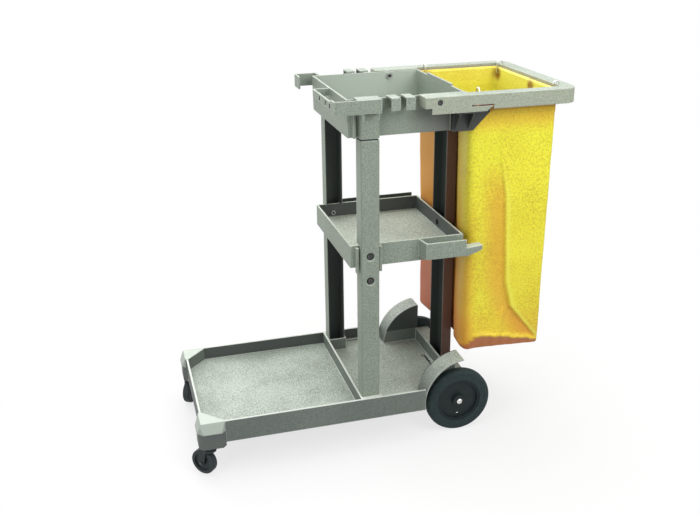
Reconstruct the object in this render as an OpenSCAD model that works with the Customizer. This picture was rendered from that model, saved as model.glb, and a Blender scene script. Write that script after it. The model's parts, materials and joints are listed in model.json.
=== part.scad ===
// Janitor cart: moulded platform, three channel uprights, two trays and a folding bag frame.
// Millimetres, +Z up, +X towards the bag, origin on the floor below the middle of the cart.

/* [Layout] */
// From the rear axle to the front of the caster housings
front_reach = 787; // [740:1:860]
// From the rear axle to the back of the bag frame
rear_reach = 300; // [285:1:340]
// Width across the caster housings and the bag frame
cart_w = 490; // [484:1:520]
// Height of the platform rim
base_top = 170; // [160:1:190]
// Height of the middle shelf rim
shelf_top = 630; // [560:1:700]
// Height of the top tray rim
tray_top = 1030; // [980:1:1100]

/* [Platform] */
// Width across the platform walls
base_w = 464; // [460:1:476]
// Height of the platform walls
base_wall_h = 67; // [62:1:75]
// Depth of the deck below the rim
deck_drop = 40; // [30:1:45]
// Thickness of the platform walls
base_t = 6; // [4:0.5:8]
// Thickness of the deck
deck_t = 4; // [3:0.5:6]
// Depth of the stiffening ribs under the deck
deck_rib_h = 18; // [8:1:20]
// Length of a caster housing along either wall
housing_l = 80; // [74:1:90]
// Setback of the front wall behind the housings
front_inset = 15; // [10:1:20]
// Corner chamfer of a caster housing
housing_chamfer = 18; // [10:1:24]
// Height of the bevelled cap on a caster housing
cap_h = 30; // [20:1:40]
// Overhang of that cap
cap_lip = 3; // [1:0.5:5]
// Drop of a caster housing below the walls
housing_drop = 11; // [6:1:16]

/* [Fenders] */
// Outer radius of a fender arch
fender_r = 136; // [132:1:142]
// Height of the arch centre above the axle
fender_rise = 18; // [10:1:22]
// Arch centre behind the axle
fender_back = 15; // [8:1:20]
// Thickness of the fender shell
fender_t = 4; // [3:0.5:5]

/* [Uprights] */
// Width across the outer faces of the side uprights
side_face = 432; // [426:1:436]
// Width of a side upright along the cart
side_w = 52; // [48:1:60]
// Depth of a side upright
side_d = 46; // [44:1:50]
// From the rear axle to the middle of the side uprights
side_to_axle = 280; // [265:1:290]
// Width of the rear upright
rear_w = 104; // [90:1:116]
// Depth of the rear upright
rear_d = 30; // [26:1:34]
// Wall of the channels
channel_t = 4; // [3:0.5:5]
// Rounding of the outer edges of the side uprights
edge_r = 5; // [4:0.5:6]
// Length of the spigots under the top tray
spigot_l = 50; // [40:1:54]

/* [Middle shelf] */
// Length of the shelf
shelf_l = 331; // [325:1:340]
// Width of the shelf
shelf_w = 384; // [380:1:390]
// Height of the shelf walls
shelf_h = 64; // [56:1:72]
// Depth of the shelf floor below the rim
shelf_drop = 43; // [38:1:48]
// Wall of the shelf
shelf_t = 5; // [4:0.5:6]
// Length of the left tool holder
holder_l = 118; // [100:1:130]
// Length of the right tool rack
rack_l = 238; // [220:1:240]
// Height of the holder and rack plates
holder_h = 47; // [40:1:52]
// Reach of the tongue behind the left holder
tongue_l = 48; // [30:1:60]
// Drop of the guide bars below the shelf
guide_drop = 14; // [6:1:20]
// Spacing of the two bolts in a side upright
bolt_pitch = 72; // [68:1:80]

/* [Top tray] */
// Length of the tray
tray_l = 330; // [322:1:336]
// Width of the tray
tray_w = 376; // [370:1:380]
// Depth of the tray
tray_h = 100; // [96:1:110]
// Wall of the tray
tray_t = 5; // [4:0.5:6]
// Gap between the tray and the rear upright
tray_gap = 6; // [4:1:8]
// Slope of the front wall from rim to floor
tray_slope = 2; // [1:0.5:12]
// Reach of the tool rail in front of the tray
rail_reach = 46; // [38:1:54]
// Height of the corner guard above the rim
guard_rise = 6; // [3:1:8]
// Height of the corner guard and the hook
guard_h = 36; // [30:1:40]
// Width of a tool tooth
tooth_w = 24; // [18:1:26]
// Spacing of the tool teeth
tooth_pitch = 40; // [38:1:42]
// Reach of the wings behind the tray
wing_reach = 63; // [50:1:70]

/* [Bag frame] */
// Height of the frame above the tray rim
frame_rise = 3; // [0:0.5:5]
// Width of the frame rails
rail_w = 38; // [36:1:39]
// Height of the frame rails
rail_h = 40; // [36:1:42]
// Height of the pivot arms
arm_h = 45; // [44:1:48]
// Wall of the frame
frame_t = 4; // [3:0.5:5]
// From the rear axle forward to the fold pivot
pivot_to_axle = 100; // [95:1:105]
// Tail of the arm in front of the pivot
tail_l = 39; // [34:1:42]
// Outer radius of the rear corners
frame_r = 40; // [40:1:48]
// Diameter of the pivot pins
pivot_d = 10; // [8:0.5:12]
// Diameter of the bag hook wire
hook_d = 4; // [3:0.5:4.5]

/* [Bag] */
// Height of the bag's underside above the floor
bag_low = 250; // [235:1:300]
// Wall of the bag
bag_t = 3; // [2:0.5:4]
// Corner radius of the bag
bag_r = 8; // [6:1:14]
// Drop of the hem below the frame
hem_drop = 8; // [6:1:12]
// Inset of the bag foot from its mouth
bag_taper = 7; // [3:1:12]
// Bore of the eyelets
eyelet_d = 11; // [9:0.5:12]
// Place of the spare eyelet in the back of the bag
spare_eyelet_y = -40; // [-120:1:120]

/* [Rear wheels] */
// Diameter of the rear wheels
wheel_d = 200; // [194:1:204]
// Width of the rear wheels
wheel_w = 32; // [28:1:34]
// Outer face of each rear wheel from the middle of the cart
wheel_face = 206; // [204:1:210]
// Diameter of the hub disc
hub_d = 136; // [120:1:150]
// Diameter of the rear axle
axle_d = 12; // [10:0.5:14]

/* [Casters] */
// Diameter of the caster wheels
caster_d = 75; // [70:1:78]
// Width of the caster wheels
caster_w = 24; // [20:1:26]
// Trail of the casters
caster_trail = 22; // [16:1:26]
// Direction in which the left caster trails
left_turn = 136; // [0:1:359]
// Direction in which the right caster trails
right_turn = 240; // [0:1:359]
// Diameter of the caster stems
stem_d = 11; // [9:0.5:12]
// Diameter of the caster wheel axles
caster_axle_d = 6; // [5:0.5:8]

/* [Fasteners] */
// Thread diameter of the shelf bolts
bolt_d = 8; // [6:0.5:8]
// Thread diameter of the tray bolts and foot screws
screw_d = 6; // [5:0.5:6]

/* [Hidden] */
$fn = 64;
// Clearances: seated plastic, running shaft and drilled hole
fit = 0.3;
run = 0.05;
hole = 0.2;
over = 1;

// Colours of the mouldings, the bag, the rubber and the metal
plastic = [0.59, 0.62, 0.58];
vinyl = [0.88, 0.80, 0.16];
rubber = [0.24, 0.29, 0.29];
dark = [0.15, 0.18, 0.18];
steel = [0.74, 0.75, 0.76];

// Reach of a turned caster tyre in front of the housings
caster_r = caster_d / 2;
caster_hub_r = 0.7 * caster_r;
tyre_w = caster_w - 2;
stem_inset = 33;
function shoulder_r(r_in, r_out, w) = min(w, r_out - r_in) / 3;
function tyre_reach(turn) =
  let (s = shoulder_r(caster_hub_r, caster_r, tyre_w))
  (caster_r - s) * abs(cos(turn)) + (tyre_w / 2 - s) * abs(sin(turn)) + s
  - caster_trail * cos(turn) - stem_inset;
caster_lead = max(0, tyre_reach(left_turn), tyre_reach(right_turn));

// Stations along the cart
axle_x = (front_reach + caster_lead - rear_reach) / 2;
front_x = axle_x - front_reach;
back_x = axle_x + rear_reach;
wall_out_x = front_x + front_inset;
wall_in_x = wall_out_x + base_t;
side_x0 = axle_x - side_to_axle - side_w / 2;
side_x1 = side_x0 + side_w;
rear_x1 = axle_x + rear_d;
beam_x0 = axle_x - fit - base_t;
beam_x1 = rear_x1 + fit + base_t;
wheel_r = wheel_d / 2;
fender_x = axle_x + fender_back;
fender_z = wheel_r + fender_rise;
well_x = fender_x - sqrt(pow(fender_r, 2) - pow(fender_z - base_top + base_wall_h, 2));

// Heights
deck_z = base_top - deck_drop;
wall_z = base_top - base_wall_h;
housing_z = wall_z - housing_drop;
cap_z = base_top - cap_h;
tray_z = tray_top - tray_h;
head_gap = 5;
shoulder_z = tray_z - head_gap;
shelf_z = shelf_top - shelf_h;

// Half widths
out_y = cart_w / 2;
wall_y = base_w / 2;
deck_y = wall_y - base_t;
side_y1 = side_face / 2;
side_y0 = side_y1 - side_d;
wheel_in_y = wheel_face - wheel_w;
washer_t = 2.6;
fender_y = wheel_in_y - washer_t - 2 * hole;
shelf_y = shelf_w / 2;
tray_y = tray_w / 2;

// Shelf bolts
bolt1_z = shelf_top - 28.5;
bolt2_z = bolt1_z - bolt_pitch;
bolt_x = side_x0 + side_w / 2;
recess_d = 2.6 * bolt_d;
recess_h = 9;
recess_bevel = 3;
cup_floor = 4;
cup_y = side_y1 - recess_h - cup_floor;
brace_y0 = shelf_y - shelf_t;
lug_z0 = bolt2_z - 16;
rear_bolt_z = shelf_top - 26;

// Bag frame
frame_top = tray_top + frame_rise;
pivot_x = axle_x - pivot_to_axle;
pivot_z = frame_top - 15;
tail_x = pivot_x - tail_l;
arm_z = frame_top - arm_h;
rail_y = out_y - rail_w;
arm_reach = 52;
arm_end_x = axle_x + arm_reach;
ledge_z = arm_z - fit;
boss_y = tray_y + over;
boss_d = 2.6 * pivot_d;
pin_head_h = 3;

// Bag
hem_z = frame_top - hem_drop;
hem_h = 64;
bag_x0 = axle_x + 2;
bag_x1 = back_x - rail_w - 3;
bag_y = rail_y - 5;
groove_x = rear_x1 + 8;
groove_y = rear_w / 2 + 8;
groove_z = tray_z + spigot_l + 12;
foot_bevel = 26;
seam = 2 * run;
seam_x = bag_x0 + 34;
seam_z = bag_low + foot_bevel + 1;
foot_x0 = 20;
eyelet_z = hem_z - 22;
eyelet_rim = 5.5;
eyelet_t = 1.5;
punch_d = eyelet_d + 2 * eyelet_t + 2 * hole;
hook_rise = 0.5;
hook_out = 12;
hook_in = bag_t + hook_d / 2 + 2;
eyelet_inset = bag_r + eyelet_d / 2 + eyelet_rim + over / 2;
front_hook_x = bag_x0 + eyelet_inset;
rear_hook_y = bag_y - eyelet_inset;

// Casters
stem_x = front_x + stem_inset;
stem_y = out_y - 24;
stem_up = 42;
flange_t = 3;
race_t = 4.6;
crown_t = 6;
crown_z = housing_z - flange_t - race_t - fit - crown_t;
fork_y = caster_w / 2 + 1;
fork_t = 3;

module slab(x0, x1, y0, y1, z0, z1) {
  translate([x0, y0, z0])
    cube([x1 - x0, y1 - y0, z1 - z0]);
}

module along_x(x0, x1) {
  translate([x0, 0, 0])
    rotate([90, 0, 90])
      linear_extrude(x1 - x0)
        children();
}

module along_y(y0, y1) {
  translate([0, y1, 0])
    rotate([90, 0, 0])
      linear_extrude(y1 - y0)
        children();
}

module both_sides() {
  children();
  mirror([0, 1, 0])
    children();
}

// Round bar along Y between two stations
module cross_bar(x, z, y0, y1, d) {
  along_y(y0, y1)
    translate([x, z])
      circle(d = d);
}

// Round bar along X between two stations
module long_bar(x0, x1, y, z, d) {
  along_x(x0, x1)
    translate([y, z])
      circle(d = d);
}

module rounded_plan(x0, x1, half_y, r) {
  translate([x0 + r, -half_y])
    square([x1 - x0 - 2 * r, 2 * half_y]);
  translate([x0, r - half_y])
    square([x1 - x0, 2 * (half_y - r)]);
  for (x = [x0 + r, x1 - r], y = [r - half_y, half_y - r])
    translate([x, y])
      circle(r = r, $fn = 24);
}

// Caster housing: bevelled cap over a recessed skirt, with a diagonal wall towards the deck
module housing() {
  far_x = front_x + housing_l;
  inner_y = out_y - housing_l;
  flare = out_y - wall_y;
  intersection() {
    translate([0, 0, housing_z])
      linear_extrude(base_top - housing_z)
        polygon([
          [wall_out_x, inner_y],
          [front_x, inner_y + front_inset],
          [front_x, out_y - housing_chamfer],
          [front_x + housing_chamfer, out_y],
          [far_x - flare, out_y],
          [far_x, wall_y],
          [far_x, deck_y],
          [wall_in_x, inner_y]
        ]);
    along_y(0, out_y)
      polygon([
        [front_x + cap_lip, housing_z],
        [front_x + cap_lip, cap_z],
        [front_x, cap_z],
        [wall_out_x - cap_lip, base_top],
        [far_x, base_top],
        [far_x, housing_z]
      ]);
    along_x(front_x, far_x)
      polygon([
        [0, housing_z],
        [out_y - cap_lip, housing_z],
        [out_y - cap_lip, cap_z],
        [out_y, cap_z],
        [wall_y, base_top],
        [0, base_top]
      ]);
  }
}

// Side view of the space under a fender, in front of the axle
module fender_side(r) {
  intersection() {
    translate([fender_x, fender_z])
      circle(r = r, $fn = 128);
    translate([well_x - over, wall_z])
      square([axle_x - well_x + over, 2 * fender_r]);
  }
}

module fender() {
  along_y(fender_y - fender_t, wall_y)
    difference() {
      fender_side(fender_r);
      fender_side(fender_r - fender_t);
    }
  along_y(fender_y - fender_t, fender_y)
    fender_side(fender_r);
}

// Plate and boss that carry one end of the rear axle
module axle_bracket() {
  boss_l = 14;
  plate_w = 44;
  cross_bar(axle_x, wheel_r, fender_y - fender_t - boss_l, fender_y, 2.6 * axle_d);
  slab(axle_x - plate_w / 2, axle_x + plate_w / 2, fender_y - fender_t, fender_y, wheel_r, deck_z);
  slab(axle_x, beam_x1, fender_y - fender_t, fender_y, wall_z, base_top);
}

module side_socket() {
  wall = 4;
  slab(
    side_x0 - fit - base_t, side_x1 + fit + wall,
    side_y0 - fit - wall, deck_y + over,
    deck_z - over, base_top
  );
}

module rear_socket() {
  difference() {
    slab(beam_x0, beam_x1, over - fender_y, fender_y - over, deck_z - deck_t, base_top);
    for (s = [-1, 1])
      translate([0, s * (fender_y + rear_w / 2) / 2, 0])
        slab(
          beam_x0 + base_t, beam_x1 - base_t,
          base_t + (rear_w / 2 - fender_y) / 2, (fender_y - rear_w / 2) / 2 - base_t,
          deck_z - deck_t - over, base_top - base_t
        );
  }
}

module deck_ribs() {
  rib_t = 3;
  rib_pitch_x = 112;
  rib_z = deck_z - deck_t - deck_rib_h;
  for (x = [wall_in_x + housing_l : rib_pitch_x : well_x - rib_pitch_x / 2])
    slab(x, x + rib_t, -deck_y - over, deck_y + over, rib_z, deck_z - over);
  for (y = [-deck_y / 2, 0, deck_y / 2])
    slab(wall_out_x + over, beam_x0, y - rib_t / 2, y + rib_t / 2, rib_z, deck_z - over);
  slab(well_x - base_t, well_x, -deck_y - over, deck_y + over, rib_z, deck_z - over);
}

module base_platform() {
  ledge = 12;
  strap_l = 70;
  strap_w = 8;
  color(plastic)
    difference() {
      union() {
        slab(wall_out_x, wall_in_x, -wall_y, wall_y, wall_z, base_top);
        both_sides()
          slab(wall_out_x, well_x + fender_t, deck_y, wall_y, wall_z, base_top);
        slab(wall_in_x - over, well_x + fender_t, -deck_y - over, deck_y + over, deck_z - deck_t, deck_z);
        slab(well_x, beam_x1, over - fender_y, fender_y - over, deck_z - deck_t, deck_z);
        slab(side_x0 - fit - base_t, side_x0 - fit, -deck_y - over, deck_y + over, deck_z - over, base_top);
        both_sides()
          slab(side_x1, well_x + over, deck_y - ledge, deck_y + over, deck_z - over, deck_z + ledge / 2);
        deck_ribs();
        rear_socket();
        both_sides() {
          housing();
          side_socket();
          fender();
          axle_bracket();
        }
      }
      both_sides() {
        slab(side_x0 - fit, side_x1 + fit, side_y0 - fit, side_y1 + fit, deck_z, base_top + over);
        translate([bolt_x, (side_y0 + side_y1) / 2, deck_z - deck_t - over])
          cylinder(d = screw_d + 2 * hole, h = deck_t + 2 * over);
        translate([stem_x, stem_y, housing_z - over])
          cylinder(d = stem_d + 2 * run, h = stem_up + over + hole);
        translate([axle_x + rear_d / 2, rear_w / 4, deck_z - deck_t - over])
          cylinder(d = screw_d + 2 * hole, h = deck_t + 2 * over);
      }
      slab(axle_x - fit, rear_x1 + fit, -rear_w / 2 - fit, rear_w / 2 + fit, deck_z, base_top + over);
      cross_bar(axle_x, wheel_r, -out_y, out_y, axle_d + 2 * run);
      slab(
        beam_x0 - 2 * strap_w, beam_x0 - strap_w, -strap_l / 4, strap_l * 3 / 4,
        deck_z - deck_t - over, deck_z + over
      );
      slab(
        beam_x0 - 3 * strap_w, beam_x0 - strap_w, strap_l * 3 / 4 - strap_w, strap_l * 3 / 4,
        deck_z - deck_t - over, deck_z + over
      );
    }
}

// Plan of a side upright, rounded along its outer edges
module upright_plan(y0) {
  translate([side_x0 + edge_r, y0])
    square([side_w - 2 * edge_r, side_y1 - y0]);
  translate([side_x0, y0])
    square([side_w, side_y1 - edge_r - y0]);
  for (x = [side_x0 + edge_r, side_x1 - edge_r])
    translate([x, side_y1 - edge_r])
      circle(r = edge_r, $fn = 32);
}

// Bevel round the mouth of a bolt recess
module recess_mouth(z) {
  deep = recess_bevel + over / 2;
  translate([bolt_x, side_y1 - deep, z])
    rotate([-90, 0, 0])
      cylinder(d1 = recess_d - over, d2 = recess_d + 2 * recess_bevel + 2 * over, h = deep + over);
}

// Side upright on the +Y side: channel open towards the cart, cut back where the shelf passes
module side_upright() {
  foot_t = 6;
  in0 = side_x0 + channel_t;
  in1 = side_x1 - channel_t;
  neck = channel_t + fit;
  difference() {
    union() {
      difference() {
        union() {
          translate([0, 0, deck_z])
            linear_extrude(shoulder_z - deck_z)
              upright_plan(side_y0);
          slab(
            side_x0 + neck, side_x1 - neck, tray_y + fit, side_y1 - neck,
            shoulder_z - over, tray_z + spigot_l - fit
          );
        }
        slab(in0, in1, side_y0 - over, side_y1 - channel_t, deck_z + foot_t, shoulder_z - 2 * channel_t);
        slab(
          side_x0 + neck + channel_t, side_x1 - neck - channel_t,
          side_y0 - over, side_y1 - neck - channel_t,
          shoulder_z - channel_t, tray_z + spigot_l + over
        );
        slab(
          side_x0 - over, side_x1 + over, side_y0 - over, shelf_y + fit,
          shelf_z - fit, shelf_top + fit
        );
      }
      for (z = [bolt1_z, bolt2_z])
        cross_bar(bolt_x, z, cup_y, side_y1 - over, recess_d + 6);
    }
    for (z = [bolt1_z, bolt2_z]) {
      cross_bar(bolt_x, z, side_y1 - recess_h, side_y1 + over, recess_d);
      cross_bar(bolt_x, z, cup_y - over, side_y1, bolt_d + 2 * hole);
      recess_mouth(z);
    }
    translate([bolt_x, (side_y0 + side_y1) / 2, deck_z - over])
      cylinder(d = screw_d + 2 * run, h = foot_t + 2 * over);
  }
}

module left_upright() {
  color(plastic)
    mirror([0, 1, 0])
      side_upright();
}

module right_upright() {
  color(plastic)
    side_upright();
}

module rear_upright() {
  foot_t = 6;
  half = rear_w / 2;
  neck = channel_t + fit;
  boss = 2.4 * bolt_d;
  color(plastic)
    difference() {
      union() {
        difference() {
          union() {
            slab(axle_x, rear_x1, -half, half, deck_z, shoulder_z);
            slab(
              axle_x + neck, rear_x1 - neck, neck - half, half - neck,
              shoulder_z - over, tray_z + spigot_l - fit
            );
          }
          slab(
            axle_x - over, rear_x1 - channel_t, channel_t - half, half - channel_t,
            deck_z + foot_t, shoulder_z - 2 * channel_t
          );
          slab(
            axle_x - over, rear_x1 - neck - channel_t, neck + channel_t - half, half - neck - channel_t,
            shoulder_z - channel_t, tray_z + spigot_l + over
          );
        }
        long_bar(axle_x, rear_x1 - over, 0, rear_bolt_z, boss);
      }
      long_bar(axle_x - over, rear_x1 - channel_t, 0, rear_bolt_z, bolt_d + 2 * run);
      for (y = [-half / 2, half / 2])
        translate([axle_x + rear_d / 2, y, deck_z - over])
          cylinder(d = screw_d + 2 * run, h = foot_t + 2 * over);
      for (y = [-half / 2, half / 2])
        long_bar(axle_x, rear_x1 + over, y, tray_z + spigot_l / 2, screw_d + 2 * hole);
    }
}

// Guide bars on the shelf wall, in front of and behind a side upright
module shelf_guides() {
  bar = 7;
  slack = 3.5;
  stand = 12;
  for (x = [side_x0 - slack - bar, side_x1 + slack])
    slab(x, x + bar, shelf_y - over, shelf_y + stand, shelf_z - guide_drop, shelf_top - shelf_t);
}

// Ribbed lug that the bolts hold inside a side upright's channel
module shelf_lug() {
  lug_t = 5;
  lug_x0 = side_x0 + channel_t + fit;
  lug_x1 = side_x1 - channel_t - fit;
  lug_y1 = cup_y - fit;
  slab(lug_x0, lug_x1, brace_y0, shelf_y, lug_z0, shelf_z + over);
  slab(bolt_x - lug_t / 2, bolt_x + lug_t / 2, brace_y0, lug_y1, lug_z0, bolt1_z);
  for (z = [lug_z0, (bolt1_z + bolt2_z - lug_t) / 2])
    slab(lug_x0, lug_x1, shelf_y - over, lug_y1, z, z + lug_t);
  for (z = [bolt1_z, bolt2_z])
    cross_bar(bolt_x, z, brace_y0, lug_y1, 2.4 * bolt_d);
}

// Left tool holder: slotted pocket beside the shelf, with a tongue behind it
module shelf_holder() {
  x1 = axle_x - 7;
  x0 = x1 - holder_l;
  y1 = out_y - 10;
  t = shelf_t;
  z1 = shelf_top - 2;
  z0 = z1 - holder_h;
  slant = 8;
  mirror([0, 1, 0]) {
    translate([0, 0, z0])
      linear_extrude(holder_h)
        polygon([
          [x0 - slant, shelf_y - over], [x0, y1], [x1, y1],
          [x1, y1 - t], [x0 + t, y1 - t], [x0 + t - slant, shelf_y - over]
        ]);
    translate([0, 0, z0])
      linear_extrude(t)
        polygon([[x0 - slant, shelf_y - over], [x0, y1], [x1, y1], [x1, shelf_y - over]]);
    along_y(out_y - rail_w, y1)
      polygon([
        [x1 - over, z0 - 3], [x1 + tongue_l - 8, z0 + 10], [x1 + tongue_l, z0 + 16],
        [x1 + tongue_l, z0 + 26], [x1 - over, z0 + 22]
      ]);
  }
}

// Right tool rack: long plate held off the shelf by three webs
module shelf_rack() {
  x1 = axle_x - fit - shelf_t;
  x0 = x1 - rack_l;
  y1 = out_y - 10;
  z1 = shelf_top - 2;
  z0 = z1 - holder_h;
  slab(x0, x1, y1 - shelf_t, y1, z0, z1);
  for (x = [x0, (x0 + x1 - shelf_t) / 2, x1 - shelf_t])
    slab(x, x + shelf_t, shelf_y - over, y1 - over, z0, z1 - 10);
}

module middle_shelf() {
  x1 = axle_x - fit;
  x0 = x1 - shelf_l;
  floor_t = 4;
  floor_z = shelf_top - shelf_drop;
  color(plastic)
    difference() {
      union() {
        difference() {
          slab(x0, x1, -shelf_y, shelf_y, shelf_z, shelf_top);
          slab(
            x0 + shelf_t, x1 - shelf_t, shelf_t - shelf_y, shelf_y - shelf_t,
            floor_z, shelf_top + over
          );
          slab(
            x0 + shelf_t, x1 - shelf_t, shelf_t - shelf_y, shelf_y - shelf_t,
            shelf_z - over, floor_z - floor_t
          );
        }
        both_sides() {
          shelf_guides();
          shelf_lug();
        }
        shelf_holder();
        shelf_rack();
      }
      for (z = [bolt1_z, bolt2_z])
        cross_bar(bolt_x, z, -out_y, out_y, bolt_d + 2 * hole);
      long_bar(x1 - 2 * shelf_t, x1 + over, 0, rear_bolt_z, bolt_d + 2 * hole);
    }
}

// Sleeve under the tray rim that drops over a side upright's spigot
module tray_head() {
  top = tray_z + spigot_l + channel_t;
  rib_t = 6;
  rib_gap = 9;
  rib_stand = 12;
  slab(
    side_x0 - rib_gap - rib_t, side_x0 - rib_gap, tray_y - over, tray_y + rib_stand,
    tray_z, tray_top + guard_rise - guard_h + over
  );
  difference() {
    translate([0, 0, tray_z])
      linear_extrude(top - tray_z)
        upright_plan(tray_y - over);
    slab(
      side_x0 + channel_t, side_x1 - channel_t, tray_y, side_y1 - channel_t,
      tray_z - over, top - channel_t
    );
  }
}

module rear_head() {
  half = rear_w / 2;
  top = tray_z + spigot_l + channel_t;
  difference() {
    slab(axle_x - tray_gap - over, rear_x1, -half, half, tray_z, top);
    slab(
      axle_x + channel_t, rear_x1 - channel_t, channel_t - half, half - channel_t,
      tray_z - over, top - channel_t
    );
  }
}

// Left front guard: wraps the corner, runs on as a slotted tool rail
module tray_guard() {
  x0 = axle_x - tray_gap - tray_l - rail_reach;
  x1 = side_x1;
  y1 = out_y - 10;
  t = tray_t;
  z1 = tray_top + guard_rise;
  z0 = z1 - guard_h;
  flange = 34;
  rail_end = 11;
  rail_z0 = tray_top - 20;
  window_w = 12;
  window_pitch = 63;
  first_window = 87;
  window_top = 5;
  head_top = tray_z + spigot_l;
  mirror([0, 1, 0]) {
    slab(x0, x1, y1 - t, y1, z0, z1);
    slab(x1 - t, x1, tray_y - over, y1, z0, z1);
    slab(side_x0 - 2 * t, x1, tray_y - over, y1, z1 - t, z1);
    slab(side_x0, side_x0 + t, tray_y - over, y1 - over, head_top, z1 - over);
    slab(side_x0, x1, side_y1 - channel_t, side_y1, head_top, z1 - over);
    slab(x0, x0 + t, y1 - flange, y1, z0, z1);
    difference() {
      slab(x0, x0 + t, rail_end, y1 - over, rail_z0, tray_top);
      for (y = [first_window, first_window + window_pitch, y1 - flange - window_w / 2])
        slab(
          x0 - over, x0 + t + over, y - window_w / 2, y + window_w / 2,
          rail_z0 + 2, tray_top - window_top
        );
    }
    slab(x0, x0 + rail_reach + t, rail_end, rail_end + t, rail_z0, tray_top);
  }
}

// Right front hook: arm beside the tray with a tab turned in front of it
module tray_hook() {
  x0 = axle_x - tray_gap - tray_l - rail_reach;
  x1 = side_x0 - 2 * tray_t;
  y1 = side_y1 + 4;
  t = tray_t;
  tab = 55;
  z1 = tray_top + guard_rise / 2;
  z0 = z1 - guard_h;
  slab(x0, x1, y1 - t, y1, z0, z1);
  slab(x0, x0 + t, y1 - tab, y1, z0, z1);
  slab(x1 - t, x1, tray_y - over, y1, z0, z1);
}

// Tool teeth along one side: each a capped plate on a web
module tray_teeth() {
  y1 = out_y - 10;
  t = tray_t;
  z1 = tray_top + guard_rise;
  z0 = z1 - guard_h + 3;
  for (i = [0, 1]) {
    x0 = side_x1 + 26 + i * tooth_pitch;
    slab(x0, x0 + tooth_w, y1 - t, y1, z0, z1);
    slab(x0, x0 + tooth_w, tray_y - over, y1, z1 - t, z1);
    slab(x0 + (tooth_w - t) / 2, x0 + (tooth_w + t) / 2, tray_y - over, y1 - over, z0, z1 - over);
  }
}

// Wing beside the bag: plate, ledge under the frame arm and two gusset ribs
module tray_wing() {
  t = 4;
  y0 = rail_y - 2;
  y1 = y0 + t;
  tip = out_y - 2;
  wing_front = 48;
  x0 = axle_x - wing_front;
  x1 = axle_x - tray_gap + wing_reach;
  rise = ledge_z - tray_z;
  along_y(y0, y1)
    polygon([
      [x0, tray_z], [x1 - rise + 10, tray_z], [x1, ledge_z - 10], [x1, ledge_z], [x0, ledge_z]
    ]);
  for (x = [x0, axle_x - tray_gap - t])
    slab(x, x + t, tray_y - over, y0 + over, tray_z, ledge_z);
  slab(x0, x1 - rise / 2, y0, tip, ledge_z - t, ledge_z);
  for (x = [x0 + t, axle_x - tray_gap])
    along_x(x, x + t)
      polygon([
        [y1 - over, tray_z + t], [tip, ledge_z - 2 * t], [tip, ledge_z - over], [y1 - over, ledge_z - over]
      ]);
}

module top_tray() {
  x1 = axle_x - tray_gap;
  x0 = x1 - tray_l;
  t = tray_t;
  floor_t = 4;
  grip = 95;
  color(plastic)
    difference() {
      union() {
        difference() {
          along_y(-tray_y, tray_y)
            polygon([[x0, tray_top], [x0 + tray_slope, tray_z], [x1, tray_z], [x1, tray_top]]);
          along_y(t - tray_y, tray_y - t)
            polygon([
              [x0 + t, tray_top + over], [x0 + tray_slope + t, tray_z + floor_t],
              [x1 - t, tray_z + floor_t], [x1 - t, tray_top + over]
            ]);
        }
        slab(x1 - t, x1, -grip, grip, tray_top - over, tray_top + guard_rise);
        rear_head();
        tray_guard();
        tray_hook();
        both_sides() {
          tray_head();
          tray_teeth();
          tray_wing();
        }
      }
      cross_bar(pivot_x, pivot_z, -tray_y - over, tray_y + over, pivot_d + 2 * hole);
      for (y = [-rear_w / 4, rear_w / 4])
        long_bar(x1 - 2 * t, rear_x1 + over, y, tray_z + spigot_l / 2, screw_d + 2 * hole);
    }
}

// Rail section: distance in from the outer face across, height up
module rail_section() {
  lip = 3;
  translate([0, frame_top - rail_h])
    square([frame_t, rail_h]);
  translate([0, frame_top - frame_t])
    square([rail_w, frame_t]);
  translate([rail_w - lip, frame_top - 15])
    square([lip, 15]);
}

// Arm from the pivot to the rail: stepped cheek with a slot over its tongue
module frame_arm() {
  slot_x = axle_x - 12;
  step_x = tail_x + 18;
  tail_h = 29;
  slot_drop = 27;
  slot_h = 4;
  slot_z = frame_top - slot_drop;
  tongue_z = slot_z - slot_h;
  cover_y = boss_y + over;
  end_x = axle_x - tray_gap - 2;
  along_y(out_y - frame_t, out_y)
    polygon([
      [tail_x, frame_top], [tail_x, frame_top - tail_h], [step_x, frame_top - tail_h], [step_x, arm_z],
      [arm_end_x - 20, arm_z], [arm_end_x - 2, tongue_z], [slot_x, tongue_z], [slot_x, slot_z],
      [arm_end_x, slot_z], [arm_end_x, frame_top - rail_h], [arm_end_x + over, frame_top - rail_h],
      [arm_end_x + over, frame_top]
    ]);
  slab(tail_x, end_x, cover_y, out_y, frame_top - frame_t, frame_top);
  slab(tail_x, end_x, cover_y, cover_y + 3, frame_top - 12, frame_top);
  slab(end_x - over, arm_end_x + over, rail_y, out_y, frame_top - frame_t, frame_top);
  slab(end_x - 3, end_x, cover_y, rail_y + 3, frame_top - 12, frame_top);
  slab(end_x - 3, arm_end_x + over, rail_y, rail_y + 3, frame_top - 15, frame_top);
  slab(tail_x, tail_x + frame_t, cover_y, out_y, frame_top - tail_h, frame_top);
  cross_bar(pivot_x, pivot_z, boss_y, out_y - over, boss_d);
}

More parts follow.
